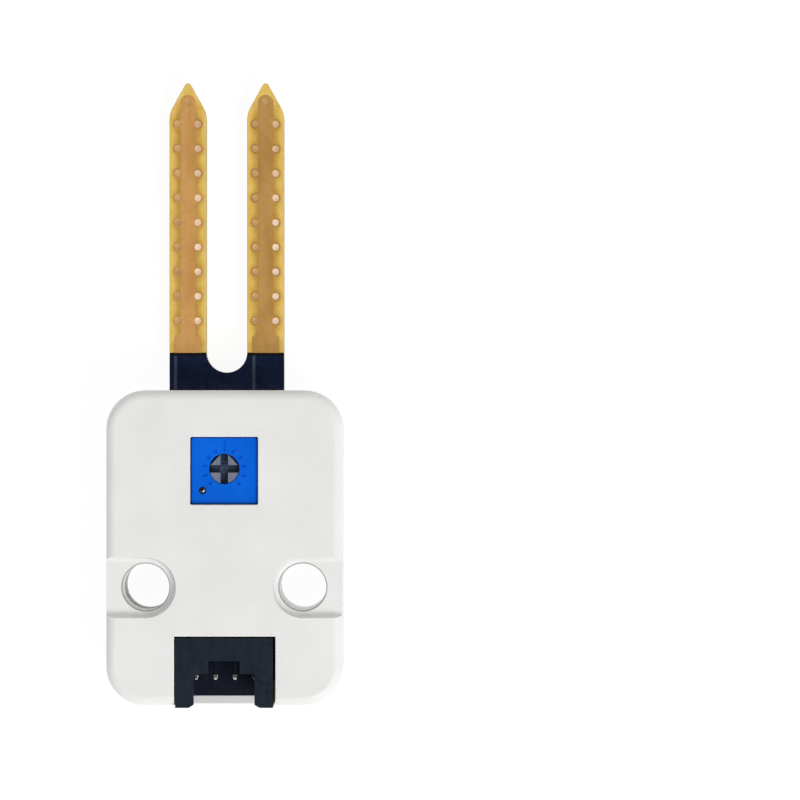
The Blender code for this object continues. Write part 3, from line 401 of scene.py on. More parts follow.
class Nodes:
    """A material's node tree, with short calls for the nodes used here."""

    def __init__(self, name, roughness, metallic=0.0, specular=0.5):
        self.material = bpy.data.materials.new(name)
        self.material.use_nodes = True
        self.tree = self.material.node_tree
        self.shader = self.tree.nodes["Principled BSDF"]
        self.shader.inputs["Roughness"].default_value = roughness
        self.shader.inputs["Metallic"].default_value = metallic
        self.shader.inputs["Specular IOR Level"].default_value = specular
        coordinates = self.tree.nodes.new("ShaderNodeTexCoord")
        self.place = coordinates.outputs["Object"]
        self.normal = coordinates.outputs["Normal"]

    def link(self, source, target):
        self.tree.links.new(source, target)

    def noise(self, pitch, detail=3.0, rough=0.55, stretch=(1, 1, 1)):
        """Noise whose blobs are about pitch metres across."""
        node = self.tree.nodes.new("ShaderNodeTexNoise")
        node.inputs["Scale"].default_value = 1.0 / pitch
        node.inputs["Detail"].default_value = detail
        node.inputs["Roughness"].default_value = rough
        place = self.place
        if stretch != (1, 1, 1):
            mapping = self.tree.nodes.new("ShaderNodeMapping")
            mapping.inputs["Scale"].default_value = stretch
            self.link(self.place, mapping.inputs["Vector"])
            place = mapping.outputs["Vector"]
        self.link(place, node.inputs["Vector"])
        return node.outputs["Fac"]

    def wave(self, pitch, axis):
        """Slightly wavy bands across an axis, pitch metres apart."""
        node = self.tree.nodes.new("ShaderNodeTexWave")
        node.bands_direction = axis
        node.inputs["Scale"].default_value = 0.314 / pitch
        node.inputs["Distortion"].default_value = 0.6
        node.inputs["Detail"].default_value = 1.0
        self.link(self.place, node.inputs["Vector"])
        return node.outputs["Fac"]

    def axis(self, name, source=None):
        node = self.tree.nodes.new("ShaderNodeSeparateXYZ")
        self.link(source or self.place, node.inputs[0])
        return node.outputs[name]

    def math(self, operation, a, b=None, c=None):
        node = self.tree.nodes.new("ShaderNodeMath")
        node.operation = operation
        for i, value in enumerate((a, b, c)):
            if value is None:
                continue
            if isinstance(value, (int, float)):
                node.inputs[i].default_value = value
            else:
                self.link(value, node.inputs[i])
        return node.outputs[0]

    def span(self, value, low, high, to_low=0.0, to_high=1.0):
        """value from low..high to to_low..to_high, smoothly and clamped."""
        node = self.tree.nodes.new("ShaderNodeMapRange")
        node.interpolation_type = "SMOOTHSTEP"
        node.inputs["From Min"].default_value = low
        node.inputs["From Max"].default_value = high
        node.inputs["To Min"].default_value = to_low
        node.inputs["To Max"].default_value = to_high
        self.link(value, node.inputs["Value"])
        return node.outputs["Result"]

    def colours(self, factor, first, second):
        node = self.tree.nodes.new("ShaderNodeMix")
        node.data_type = "RGBA"
        self.link(factor, node.inputs["Factor"])
        for socket, value in (("A", first), ("B", second)):
            target = [i for i in node.inputs if i.name == socket and i.type == "RGBA"][0]
            if isinstance(value, tuple):
                target.default_value = (*value, 1.0)
            else:
                self.link(value, target)
        return [o for o in node.outputs if o.type == "RGBA"][0]

    def spread(self, noise, low, high):
        """low to high over the range that most of a noise's values fall in."""
        return self.span(noise, 0.3, 0.7, low, high)

    def blotches(self, noise, first, second):
        """first and second colour, mixed over the same range of a noise."""
        return self.colours(self.spread(noise, 0.0, 1.0), first, second)

    def bump(self, height, depth):
        node = self.tree.nodes.new("ShaderNodeBump")
        node.inputs["Strength"].default_value = 1.0
        node.inputs["Distance"].default_value = depth
        self.link(height, node.inputs["Height"])
        if self.shader.inputs["Normal"].is_linked:
            self.link(self.shader.inputs["Normal"].links[0].from_socket, node.inputs["Normal"])
        self.link(node.outputs["Normal"], self.shader.inputs["Normal"])

    def colour(self, source):
        self.link(source, self.shader.inputs["Base Color"])

    def roughness(self, source):
        self.link(source, self.shader.inputs["Roughness"])


def linear(r, g, b):
    """A linear colour from its 8-bit screen values."""

    def one(v):
        v /= 255
        return v / 12.92 if v <= 0.04045 else ((v + 0.055) / 1.055) ** 2.4

    return (one(r), one(g), one(b))


def moulded_nodes(name, dark, light, roughness, grain=0.09 * MM, depth=0.004 * MM, specular=0.5):
    """Moulded plastic: fine spark-eroded grain, faint flow marks and polish that varies."""
    n = Nodes(name, roughness, specular=specular)
    cloud = n.noise(6 * MM, 2.0)
    speck = n.noise(0.35 * MM, 4.0)
    tone = n.math("ADD", n.math("MULTIPLY", cloud, 0.7), n.math("MULTIPLY", speck, 0.3))
    n.colour(n.colours(n.span(tone, 0.35, 0.65), dark, light))
    scuff = n.noise(2.2 * MM, 5.0, 0.7, (1.0, 0.25, 1.0))
    n.roughness(n.spread(scuff, roughness - 0.07, roughness + 0.08))
    n.bump(n.noise(grain, 2.0), depth)
    n.bump(n.noise(1.6 * MM, 1.0), depth * 1.5)
    return n


def moulded(*look):
    return moulded_nodes(*look).material


def metal(name, dark, light, roughness, grain=0.12 * MM, depth=0.002 * MM, metallic=1.0, patch=0.9 * MM):
    """Plated or tinned metal with fine drawn grain and tarnished patches."""
    n = Nodes(name, roughness, metallic)
    cloud = n.noise(patch, 4.0, 0.6, (1.0, 0.4, 1.0))
    n.colour(n.colours(n.span(cloud, 0.3, 0.75), light, dark))
    n.roughness(n.spread(n.noise(0.4 * MM, 3.0), roughness - 0.06, roughness + 0.1))
    n.bump(n.noise(grain, 3.0, 0.6, (1.0, 0.3, 1.0)), depth)
    return n.material


def coated_copper(side, dark, light):
    """Foil under a clear coat, which hides most of its metallic look, with broad patches."""
    return metal(f"coated_copper_{side}", dark, light, 0.4, 0.1 * MM, 0.002 * MM, 0.2, 2 * MM)


def pin_metal():
    """Tinned pins: bright where they are ground to a taper, with painted shade on the shank behind it and
    over all of pin 4.
    """
    n = Nodes("pin_metal", 0.14, 1.0)
    cloud = n.noise(0.5 * MM, 4.0, 0.6, (1.0, 0.3, 1.0))
    bright = n.blotches(cloud, linear(214, 214, 210), linear(238, 238, 234))
    # Painted shade: this dark blue-grey stands in for the shade inside the socket on the shanks, and on pin
    # 4, which the socket's right wall shades.
    painted_shade = n.blotches(cloud, linear(24, 28, 40), linear(34, 38, 50))
    shank = n.span(n.axis("Y"), PIN_TIP + PIN_TIP_TAPER, PIN_TIP + PIN_TIP_TAPER * 1.6)
    fourth_pin_shade = n.span(n.axis("X"), PIN_PITCH, PIN_PITCH * 1.2, 0.0, 0.9)
    n.colour(n.colours(n.math("MAXIMUM", shank, fourth_pin_shade), bright, painted_shade))
    polish = n.spread(n.noise(0.3 * MM, 3.0), 0.08, 0.24)
    n.roughness(n.math("MULTIPLY_ADD", shank, 0.35, polish))
    n.bump(n.noise(0.12 * MM, 2.0, 0.5, (1.0, 0.3, 1.0)), 0.0004 * MM)
    return n.material


def case_plastic():
    """The case's white plastic, with a thin ring of painted shade round the mouths of its fixing holes in
    front.
    """
    n = moulded_nodes("case_plastic", linear(227, 227, 225), linear(232, 232, 230), 0.5)
    x = n.math("SUBTRACT", n.math("ABSOLUTE", n.axis("X")), HOLE_X)
    y = n.math("SUBTRACT", n.axis("Y"), HOLE_Y)
    radius = n.math("SQRT", n.math("ADD", n.math("MULTIPLY", x, x), n.math("MULTIPLY", y, y)))
    off = n.math("ABSOLUTE", n.math("SUBTRACT", radius, BORE_RADIUS))
    # Painted shade: a thin grey ring on the bore's wall just under its mouth, standing in for the shade
    # inside the hole.
    ring = n.span(off, 0.15 * MM, 0.06 * MM)
    rim = CASE_HEIGHT - POCKET_DEPTH
    ring = n.math("MULTIPLY", ring, n.span(n.axis("Z"), rim - 0.6 * MM, rim - 0.3 * MM))
    plain = n.shader.inputs["Base Color"].links[0].from_socket
    n.colour(n.colours(ring, plain, linear(150, 149, 146)))
    return n.material


def dimple_epoxy():
    """The dark epoxy bead, glossier than plastic."""
    n = moulded_nodes("epoxy_dot", linear(4, 10, 26), linear(10, 18, 38), 0.08, 0.2 * MM, 0.0001 * MM, 1.0)
    n.shader.inputs["IOR"].default_value = 1.6
    return n.material


def two_level(name, high, low, level, roughness, specular=0.4):
    """Moulded plastic that is darker below a level: painted shade for the recesses down there."""
    n = Nodes(name, roughness, specular=specular)
    cloud = n.math("ADD", n.noise(1.2 * MM, 4.0), n.noise(0.5 * MM, 3.0, 0.6, (1.0, 0.12, 1.0)))
    cloud = n.math("MULTIPLY", cloud, 0.5)
    top = n.blotches(cloud, *high)
    bottom = n.blotches(cloud, *low)
    # Painted shade: below the level the colour switches to the darker, shaded copy.
    n.colour(n.colours(n.span(n.axis("Z"), level - 0.12 * MM, level + 0.12 * MM), bottom, top))
    n.roughness(n.spread(n.noise(0.5 * MM, 3.0), roughness - 0.07, roughness + 0.08))
    n.bump(n.noise(0.06 * MM, 2.0), 0.002 * MM)
    return n.material


def fibreglass():
    """Bare board: amber resin over woven glass, olive beside the foil and grey-green on milled edges."""
    n = Nodes("fibreglass", 0.42)
    across = n.math("ABSOLUTE", n.math("SUBTRACT", n.math("ABSOLUTE", n.axis("X")), PRONG_X))
    along = n.axis("Y")
    from_row = n.math("SUBTRACT", along, FIRST_ROW_Y)
    wave = n.math("COSINE", n.math("MULTIPLY", from_row, 2 * math.pi / VIA_PITCH))
    edge = n.math("MULTIPLY_ADD", wave, -0.16 * MM, across)
    shade = n.span(edge, 0.95 * MM, 1.75 * MM, 1.0, 0.12)
    shade = n.math("MULTIPLY", shade, n.span(along, TIP_Y - 1.4 * MM, TIP_Y - 3.6 * MM))
    weave = n.math("MULTIPLY", n.wave(0.3 * MM, "X"), n.wave(0.3 * MM, "Y"))
    cloud = n.noise(1.4 * MM, 4.0, 0.6)
    streak = n.noise(0.4 * MM, 3.0, 0.6, (1.0, 0.08, 1.0))
    tone = n.math("ADD", n.math("MULTIPLY", weave, 0.12), n.math("MULTIPLY", cloud, 0.5))
    tone = n.math("ADD", tone, n.math("MULTIPLY", streak, 0.38))
    amber = n.blotches(tone, linear(222, 184, 90), linear(238, 205, 112))
    olive = n.blotches(tone, linear(184, 142, 54), linear(200, 158, 66))
    flat = n.colours(shade, amber, olive)
    milled = n.blotches(streak, linear(140, 126, 78), linear(172, 156, 100))
    upright = n.math("ABSOLUTE", n.axis("Z", n.normal))
    n.colour(n.colours(n.span(upright, 0.5, 0.96), milled, flat))
    n.roughness(n.spread(cloud, 0.36, 0.5))
    n.bump(weave, 0.003 * MM)
    n.shader.inputs["Subsurface Weight"].default_value = 0.2
    n.shader.inputs["Subsurface Radius"].default_value = (1.0, 0.6, 0.15)
    n.shader.inputs["Subsurface Scale"].default_value = 0.5 * MM
    return n.material


def solder_mask(name, dark, light):
    """Blue-black lacquer: glossy, with an orange-peel surface and a browner border where it ends."""
    n = Nodes(name, 0.24, specular=0.4)
    film = n.blotches(n.noise(1.8 * MM, 4.0, 0.6), dark, light)
    border = n.span(n.axis("Y"), MASK_Y - 0.42 * MM, MASK_Y - 0.2 * MM)
    n.colour(n.colours(border, film, linear(14, 12, 10)))
    n.roughness(n.spread(n.noise(0.5 * MM, 4.0), 0.18, 0.3))
    n.bump(n.noise(0.3 * MM, 2.0), 0.0012 * MM)
    return n.material


def painted_light_resin():
    """The resin in each prong's right-hand row of holes, with painted light: pale as lit floor seen through
    a hole, and paler towards the case.
    """
    n = Nodes("via_resin_right_painted_light", 0.35)
    cloud = n.noise(0.5 * MM, 4.0)
    copper = n.blotches(cloud, linear(202, 164, 118), linear(218, 182, 140))
    cream = n.blotches(cloud, linear(229, 196, 165), linear(247, 218, 189))
    pale = n.span(n.axis("Y"), FIRST_ROW_Y + VIA_PITCH, FIRST_ROW_Y - 5 * VIA_PITCH)
    n.colour(n.colours(pale, copper, cream))
    n.roughness(n.spread(n.noise(0.4 * MM, 4.0), 0.28, 0.43))
    n.bump(n.noise(0.1 * MM, 2.0), 0.002 * MM)
    return n.material


CASE = case_plastic()
# Painted shade: the socket's plastic is darker below the pins' height, deep in the cavity.
SOCKET = two_level(
    "socket_plastic",
    (linear(11, 21, 32), linear(23, 33, 45)),
    (linear(0, 6, 26), linear(6, 14, 36)),
    SOCKET_SHADE_LEVEL,
    0.48,
    0.22,
)
BLUE = moulded("trimmer_plastic", linear(0, 92, 206), linear(0, 100, 219), 0.4, 0.06 * MM, 0.002 * MM, 0.12)
# Painted shade: the rotor is darker below its top face, in its flats and slots.
GREY = two_level(
    "rotor_plastic",
    (linear(102, 109, 129), linear(122, 127, 145)),
    (linear(32, 50, 70), linear(58, 74, 98)),
    ROTOR_TOP - ROTOR_SHADE_DEPTH,
    0.42,
)
BOARD = fibreglass()
LACQUER = solder_mask("solder_mask", linear(10, 20, 48), linear(17, 29, 60))
# Painted highlight: lacquer over a buried copper edge, coloured far lighter as the light that edge catches.
RIDGE_HIGHLIGHT = solder_mask("solder_mask_over_trace_painted_highlight", linear(57, 63, 79), linear(67, 73, 89))
COPPER_LEFT = coated_copper("left", linear(196, 141, 75), linear(216, 163, 94))
COPPER_RIGHT = coated_copper("right", linear(178, 131, 64), linear(198, 152, 84))
PINS = pin_metal()
TINNED = metal("tinned_metal", linear(170, 170, 166), linear(216, 216, 212), 0.12, 0.12 * MM, 0.0004 * MM)
BRASS_TONES = linear(190, 140, 100), linear(236, 200, 168)
BRASS = metal("tinned_brass_tab", *BRASS_TONES, 0.3, 0.1 * MM, 0.002 * MM, 0.6)
DIMPLE = dimple_epoxy()
# Painted shade: the left-hand rows' resin is a darker, shaded copy of the right-hand rows' look.
RESIN_SHADED_TONES = linear(185, 142, 86), linear(205, 163, 106)
FILL_LEFT_SHADED = moulded("via_resin_left_painted_shade", *RESIN_SHADED_TONES, 0.35, 0.1 * MM, 0.002 * MM)
FILL_RIGHT_LIT = painted_light_resin()
RED = moulded("seal_rubber", linear(132, 48, 34), linear(152, 60, 44), 0.75)
PALE = moulded("element_ceramic", linear(228, 226, 218), linear(238, 236, 230), 0.6)
SEALANT = moulded("base_sealant", linear(40, 80, 150), linear(54, 96, 168), 0.3)
CHIP = moulded("chip_plastic", linear(24, 24, 26), linear(36, 36, 38), 0.6)
RESISTOR = moulded("resistor_coat", linear(26, 27, 30), linear(38, 39, 42), 0.45)
CAPACITOR = moulded("capacitor_body", linear(160, 134, 100), linear(180, 154, 120), 0.5)


# -------------------------------------------------------------------- case


def case_outline(inset):
    return rounded_rectangle(CASE_HALF_X - inset, CASE_HALF_Y - inset, CASE_CORNER - inset)


def u_shape(side, end):
    """U-shaped outlines round a fixing hole, by radius, which run sideways to end."""

    def outline(radius):
        bend = arc(side * HOLE_X, HOLE_Y, radius, 90, 90 + side * 180, HOLE_STEPS // 2)
        return [*bend, (side * end, bend[-1][1]), (side * end, bend[0][1])]

    return outline


def pocket_levels():
    """(radius, depth) pairs of a pocket: a rounded rim, a slight draft and a fillet down to its floor."""
    wall = POCKET_RADIUS + POCKET_FILLET
    mouth = wall + POCKET_DRAFT
    levels = [(mouth + POCKET_RIM_ROUND, -PAST)]
    levels += [(mouth + inset, depth) for inset, depth in quarter_round(POCKET_RIM_ROUND)]
    fillet = quarter_round(POCKET_FILLET, FINE_STEPS * 2)
    return levels + [(wall - depth, POCKET_DEPTH - inset) for inset, depth in fillet]


def bore_levels():
    levels = [(BORE_RADIUS + BORE_ROUND, POCKET_DEPTH - OVERLAP)]
    levels += [(BORE_RADIUS + inset, POCKET_DEPTH + depth) for inset, depth in quarter_round(BORE_ROUND)]
    return levels + [(BORE_RADIUS, RIM + PAST)]


def shell(name, height_of, rim_levels):
    """One half of the case. height_of turns a depth below its outer face into a height."""

    def at_height(levels):
        return [(size, height_of(depth)) for size, depth in levels]

    levels = quarter_round(EDGE_ROUND, ROUND_STEPS) + [(0, RIM - SEAM_EDGE)]
    levels += [(inset, RIM - depth) for inset, depth in reversed(quarter_round(SEAM_EDGE)) if inset > 0]
    half = stack(name, case_outline, at_height(levels + rim_levels + [(WALL, FACE)]))
    for side in (1, -1):
        centre = (side * HOLE_X, HOLE_Y)
        inside = u_shape(side, CASE_HALF_X - OVERLAP)(POCKET_PAD_RADIUS)
        pad = prism("pad", inside, height_of(OVERLAP), height_of(POCKET_PAD_DEPTH))
        add(half, pad, turned("boss", centre, at_height([(BOSS_RADIUS, OVERLAP), (BOSS_RADIUS, RIM)])))
    for side in (1, -1):
        centre = (side * HOLE_X, HOLE_Y)
        cut(half, stack("pocket", u_shape(side, CASE_HALF_X + PAST), at_height(pocket_levels())))
        cut(half, turned("bore", centre, at_height(bore_levels())))
    return half


def mouth_cut(name, outline, top, bottom):
    """A cutter from above whose mouth is rounded. outline(inset) shrinks with a positive inset."""
    levels = [(0, top + PAST)]
    levels += [(MOUTH_ROUND - inset, top - depth) for inset, depth in quarter_round(MOUTH_ROUND)]
    return stack(name, outline, levels + [(MOUTH_ROUND, bottom)])


def make_bottom():
    rim_levels = [(LIP_STEP, RIM), (LIP_STEP, RIM + LIP_HEIGHT), (WALL, RIM + LIP_HEIGHT)]
    half = shell("case_back_half", lambda depth: depth, rim_levels)
    above = RIM + LIP_HEIGHT + PAST
    around = BOSS_RADIUS + LIP_SIDE_GAP
    boss_top = RIM - LIP_GAP_SINK
    corners = [(BORE_RADIUS, boss_top), (around, boss_top), (around, above), (BORE_RADIUS, above)]
    for side in (1, -1):
        cut(half, turned("lip_gap", (side * HOLE_X, HOLE_Y), corners, ring=True))
    outside = CASE_HALF_Y + PAST
    inside = CASE_HALF_Y - WALL - PAST
    neck_slot = block(
        "neck_slot",
        (-NECK_HALF - CLEAR, inside, BOARD_BOTTOM - CLEAR),
        (NECK_HALF + CLEAR, outside, above),
    )
    back = -CASE_HALF_Y + OVERLAP

    def sill_outline(front):
        return rectangle(SILL_HALF, (back - front) / 2, (0.0, (back + front) / 2))

    sill_levels = [(-CASE_HALF_Y, SILL_LOW), (SOCKET_LOW.y, SILL_LOW + SILL_SLOPE), (SOCKET_LOW.y, RIM)]
    add(half, stack("sill", sill_outline, sill_levels))
    mouth = block("socket_mouth", (CUTOUT_LEFT, -outside, CUTOUT_LIP_TOP), (CUTOUT_RIGHT, -inside, above))
    cut(half, neck_slot, mouth)
    lip_half = SOCKET_CAVITY_HALF - CLEAR
    for left, right in ((CUTOUT_LEFT, -lip_half), (lip_half, CUTOUT_RIGHT)):
        cut(half, block("ear_slot", (left, -outside, SOCKET_LOW.z - CLEAR), (right, -inside, above)))
    tab_pocket = block(
        "tab_pocket",
        (-TAB_POCKET_HALF, TAB_POCKET_BACK, BOARD_BOTTOM - CLEAR),
        (TAB_POCKET_HALF, -inside, CUTOUT_LIP_TOP + CLEAR),
    )
    cut(half, tab_pocket)
    return dress(half, CASE, replaced=["bottom_shell"])


def make_top():
    rebate = LIP_STEP - LIP_SIDE_GAP
    rebate_depth = RIM - LIP_HEIGHT + SEAM_GAP - LIP_END_GAP
    rim_levels = [(rebate, RIM), (rebate, rebate_depth), (WALL, rebate_depth)]
    half = shell("case_front_half", lambda depth: CASE_HEIGHT - depth, rim_levels)
    tongue = block(
        "tongue",
        (-NECK_HALF, CASE_HALF_Y - WALL + CLEAR / 2, BOARD_TOP + CLEAR),
        (NECK_HALF, CASE_HALF_Y - CLEAR / 2, CASE_HEIGHT - rebate_depth + OVERLAP),
    )
    add(half, tongue)
    wide = WINDOW_HALF + MOUTH_ROUND

    def window_outline(size):
        radius = WINDOW_CORNER + MOUTH_ROUND - size
        return rounded_rectangle(wide - size, wide - size, radius, (TRIMMER_X, TRIMMER_Y), FINE_STEPS)

    middle = (CUTOUT_LEFT + CUTOUT_RIGHT) / 2
    across = (CUTOUT_RIGHT - CUTOUT_LEFT) / 2 + MOUTH_ROUND
    front = -CASE_HALF_Y - PAST

    def cutout_outline(size):
        back = CUTOUT_BACK + MOUTH_ROUND - size
        return rectangle(across - size, (back - front) / 2, (middle, (back + front) / 2))

    window = mouth_cut("window", window_outline, CASE_HEIGHT, CASE_HEIGHT - FACE - PAST)
    cutout = mouth_cut("cutout", cutout_outline, CASE_HEIGHT, BOARD_TOP)
    cut(half, window, cutout)
    return dress(half, CASE, replaced=["top_shell"])


# ------------------------------------------------------- board, electrodes


def prong_tip(x, inset=0.0):
    turn = math.degrees(TAPER_ANGLE)
    half, tip_radius, shoulder = PRONG_HALF - inset, TIP_RADIUS - inset, TAPER_SHOULDER - inset
    tip_centre = TIP_Y - TIP_RADIUS
    inner = PRONG_HALF - TAPER_SHOULDER
    along = inner + (TAPER_SHOULDER - TIP_RADIUS) * math.cos(TAPER_ANGLE)
    shoulder_y = tip_centre - along / math.tan(TAPER_ANGLE)
    shoulder_y -= (TAPER_SHOULDER - TIP_RADIUS) * math.sin(TAPER_ANGLE)
    right = arc(x + half - shoulder, shoulder_y, shoulder, 0, turn, CORNER_STEPS)
    point = arc(x, tip_centre, tip_radius, turn, 180 - turn, CORNER_STEPS)
    left = arc(x - half + shoulder, shoulder_y, shoulder, 180 - turn, 180, CORNER_STEPS)
    return right + point + left


def fork_outline(inset):
    """The board outside the case, moved inwards all round."""
    radius = PRONG_GAP / 2 + inset
    crotch = arc(0, CROTCH_Y, radius, 270, 360, CORNER_STEPS)
    crotch[0] = (0.0, CROTCH_Y - radius)
    return mirrored(crotch + prong_tip(PRONG_X, inset)[::-1] + [(NECK_HALF - inset, FORK_INNER_Y)])


def neck_outline(inset):
    """The lacquered part of the board outside the case, with small rounded corners."""
    radius = PRONG_GAP / 2 + inset
    level = math.degrees(math.asin((CROTCH_Y - MASK_Y) / radius))
    crotch = arc(0, CROTCH_Y, radius, 270, 360 - level, CORNER_STEPS)
    crotch[0] = (0.0, CROTCH_Y - radius)
    edge = NECK_HALF - inset
    corner = arc(edge - NECK_CORNER, MASK_Y - NECK_CORNER, NECK_CORNER, 90, 0, FINE_STEPS)
    return mirrored(crotch + corner + [(edge, MASK_INNER_Y)])


def via_places(x):
    """Middles of a prong's plated holes: one near the tip, then pairs."""
    places = [(x, END_VIA_Y)]
    for row in range(VIA_ROWS):
        y = FIRST_ROW_Y - row * VIA_PITCH
        places += [(x - VIA_X, y), (x + VIA_X, y)]
    return places


def drill(places, radius, low, high, steps=VIA_STEPS):
    return merged([turned("drill", place, [(radius, low), (radius, high)], steps) for place in places])


def make_board():
    levels = []
    curve = quarter_round(BOARD_EDGE, BOARD_EDGE_STEPS)
    for z, side in ((BOARD_BOTTOM, 1), (BOARD_TOP, -1)):
        rounding = [(inset, z + side * depth) for inset, depth in curve]
        levels += rounding if side > 0 else rounding[::-1]
    board = stack("probe_board", fork_outline, levels)
    half_y = CASE_HALF_Y - WALL - PLATE_GAP - PLATE_SHIFT
    plate = rounded_rectangle(BOARD_HIGH.x, half_y, PLATE_CORNER, (0.0, -PLATE_SHIFT), FINE_STEPS)
    add(board, prism("plate", plate, BOARD_BOTTOM, BOARD_TOP))
    bosses = [(side * HOLE_X, HOLE_Y) for side in (1, -1)]
    vias = via_places(PRONG_X) + via_places(-PRONG_X)
    cut(board, drill(bosses, PLATE_NOTCH, BOARD_BOTTOM - PAST, BOARD_TOP + PAST, HOLE_STEPS))
    cut(board, drill(vias, BARREL_RADIUS + BARREL_GAP, BOARD_BOTTOM - PAST, BOARD_TOP + PAST))
    tab_low = (-BOARD_TAB_HALF, BOARD_LOW.y, BOARD_BOTTOM)
    add(board, block("tab", tab_low, (BOARD_TAB_HALF, BOARD_TAB_INNER_Y, BOARD_TOP)))
    dress(board, BOARD, replaced=["circuit_board"])
    for side, name in ((1, "front"), (-1, "back")):
        face = BOARD_TOP if side > 0 else BOARD_BOTTOM
        base, film = face - side * MASK_SINK, face + side * MASK
        skin = stack(
            f"lacquer_{name}",
            neck_outline,
            [(MASK_INSET, base), (MASK_INSET, film - side * MASK / 2), (MASK_INSET + MASK / 2, film)],
        )
        dress(skin, LACQUER)
        # Thin raised strips whose lighter colour is a painted highlight.
        for number, x in enumerate(TRACE_X, 1):
            trace = block(
                f"trace_{name}_{number}",
                (side * x - TRACE_HALF, CASE_HALF_Y - WALL, min(film, base)),
                (side * x + TRACE_HALF, MASK_Y - TRACE_HALF, max(film, base) + TRACE_RISE),
            )
            if side < 0:
                trace.location.z = -TRACE_RISE
            dress(trace, RIDGE_HIGHLIGHT, bevel=0.006 * MM)


def foil_outline(x):
    """A foil strip with a wide root, a half pad at each hole beside it and a round end, middle at x."""
    reach = math.degrees(math.acos((STRIP_HALF - VIA_X) / PAD_RADIUS))
    side = [(ROOT_HALF, MASK_Y - ROOT_UNDER_MASK), (ROOT_HALF, ROOT_TOP)]
    blend = ROOT_HALF - STRIP_HALF
    for a, b in arc(0, 0, 1.0, 270, 180, CORNER_STEPS)[1:]:
        side.append((ROOT_HALF + a * blend, ROOT_TOP + ROOT_BLEND * (1 + b)))
    for row in reversed(range(VIA_ROWS)):
        side += arc(VIA_X, FIRST_ROW_Y - row * VIA_PITCH, PAD_RADIUS, -reach, reach, VIA_STEPS)
    side += arc(0, END_VIA_Y, STRIP_HALF, 0, 90, CORNER_STEPS)[:-1]
    side.append((0.0, END_VIA_Y + STRIP_HALF))
    return [(x + a, b) for a, b in side] + [(x - a, b) for a, b in reversed(side[:-1])]


def via_mouth():
    """(outset, depth) pairs of the plating's flared mouth."""
    return [(outset, depth * VIA_FLARE_STRETCH) for outset, depth in quarter_round(VIA_FLARE)]


def make_electrode(name, node, x, material):
    """Foil on both faces, a plated barrel with flared mouths in each hole, and the resin in the holes."""
    outline, places = foil_outline(x), via_places(x)
    top, bottom = BOARD_TOP + FOIL_LIFT, BOARD_BOTTOM - FOIL_LIFT
    high, low = top + FOIL, bottom - FOIL
    foil = prism(name, outline, top, high)
    add(foil, drill(places, BARREL_RADIUS, bottom - FOIL / 2, top + FOIL / 2))
    add(foil, prism("back_foil", outline, low, bottom))
    wide = VIA_RADIUS + VIA_FLARE + PAST
    levels = [(wide, high + PAST)]
    levels += [(VIA_RADIUS + outset, high - depth) for outset, depth in via_mouth()]
    levels += [(VIA_RADIUS + outset, low + depth) for outset, depth in reversed(via_mouth())]
    levels += [(wide, low - PAST)]
    cut(foil, merged([turned("bore", place, levels, VIA_STEPS) for place in places]))
    dress(foil, material, replaced=[node], bevel=0.006 * MM, segments=1)
    rows = {"left": [p for p in places if p[0] < x], "right": [p for p in places if p[0] > x]}
    rows["left"].append(places[0])
    # Lit and shaded copies of one resin: painted light on the right-hand rows, painted shade on the left.
    for row, look in (("left", FILL_LEFT_SHADED), ("right", FILL_RIGHT_LIT)):
        fill = merged([make_fill(place, low, high) for place in rows[row]])
        fill.name = f"{name}_{row}_resin"
        dress(fill, look)


def make_fill(place, low, high):
    """The resin that closes a hole, hollow at both ends."""
    curve = []
    for i in range(1, FILL_STEPS + 1):
        out = i / FILL_STEPS
        curve.append(((VIA_RADIUS - FILL_GAP) * out, FILL_SINK + FILL_DIP * (1 - out**2)))
    levels = [(size, low + sink) for size, sink in curve]
    levels += [(size, high - sink) for size, sink in reversed(curve)]
    return turned("fill", place, levels, VIA_STEPS)


# ------------------------------------------------------------- plug socket


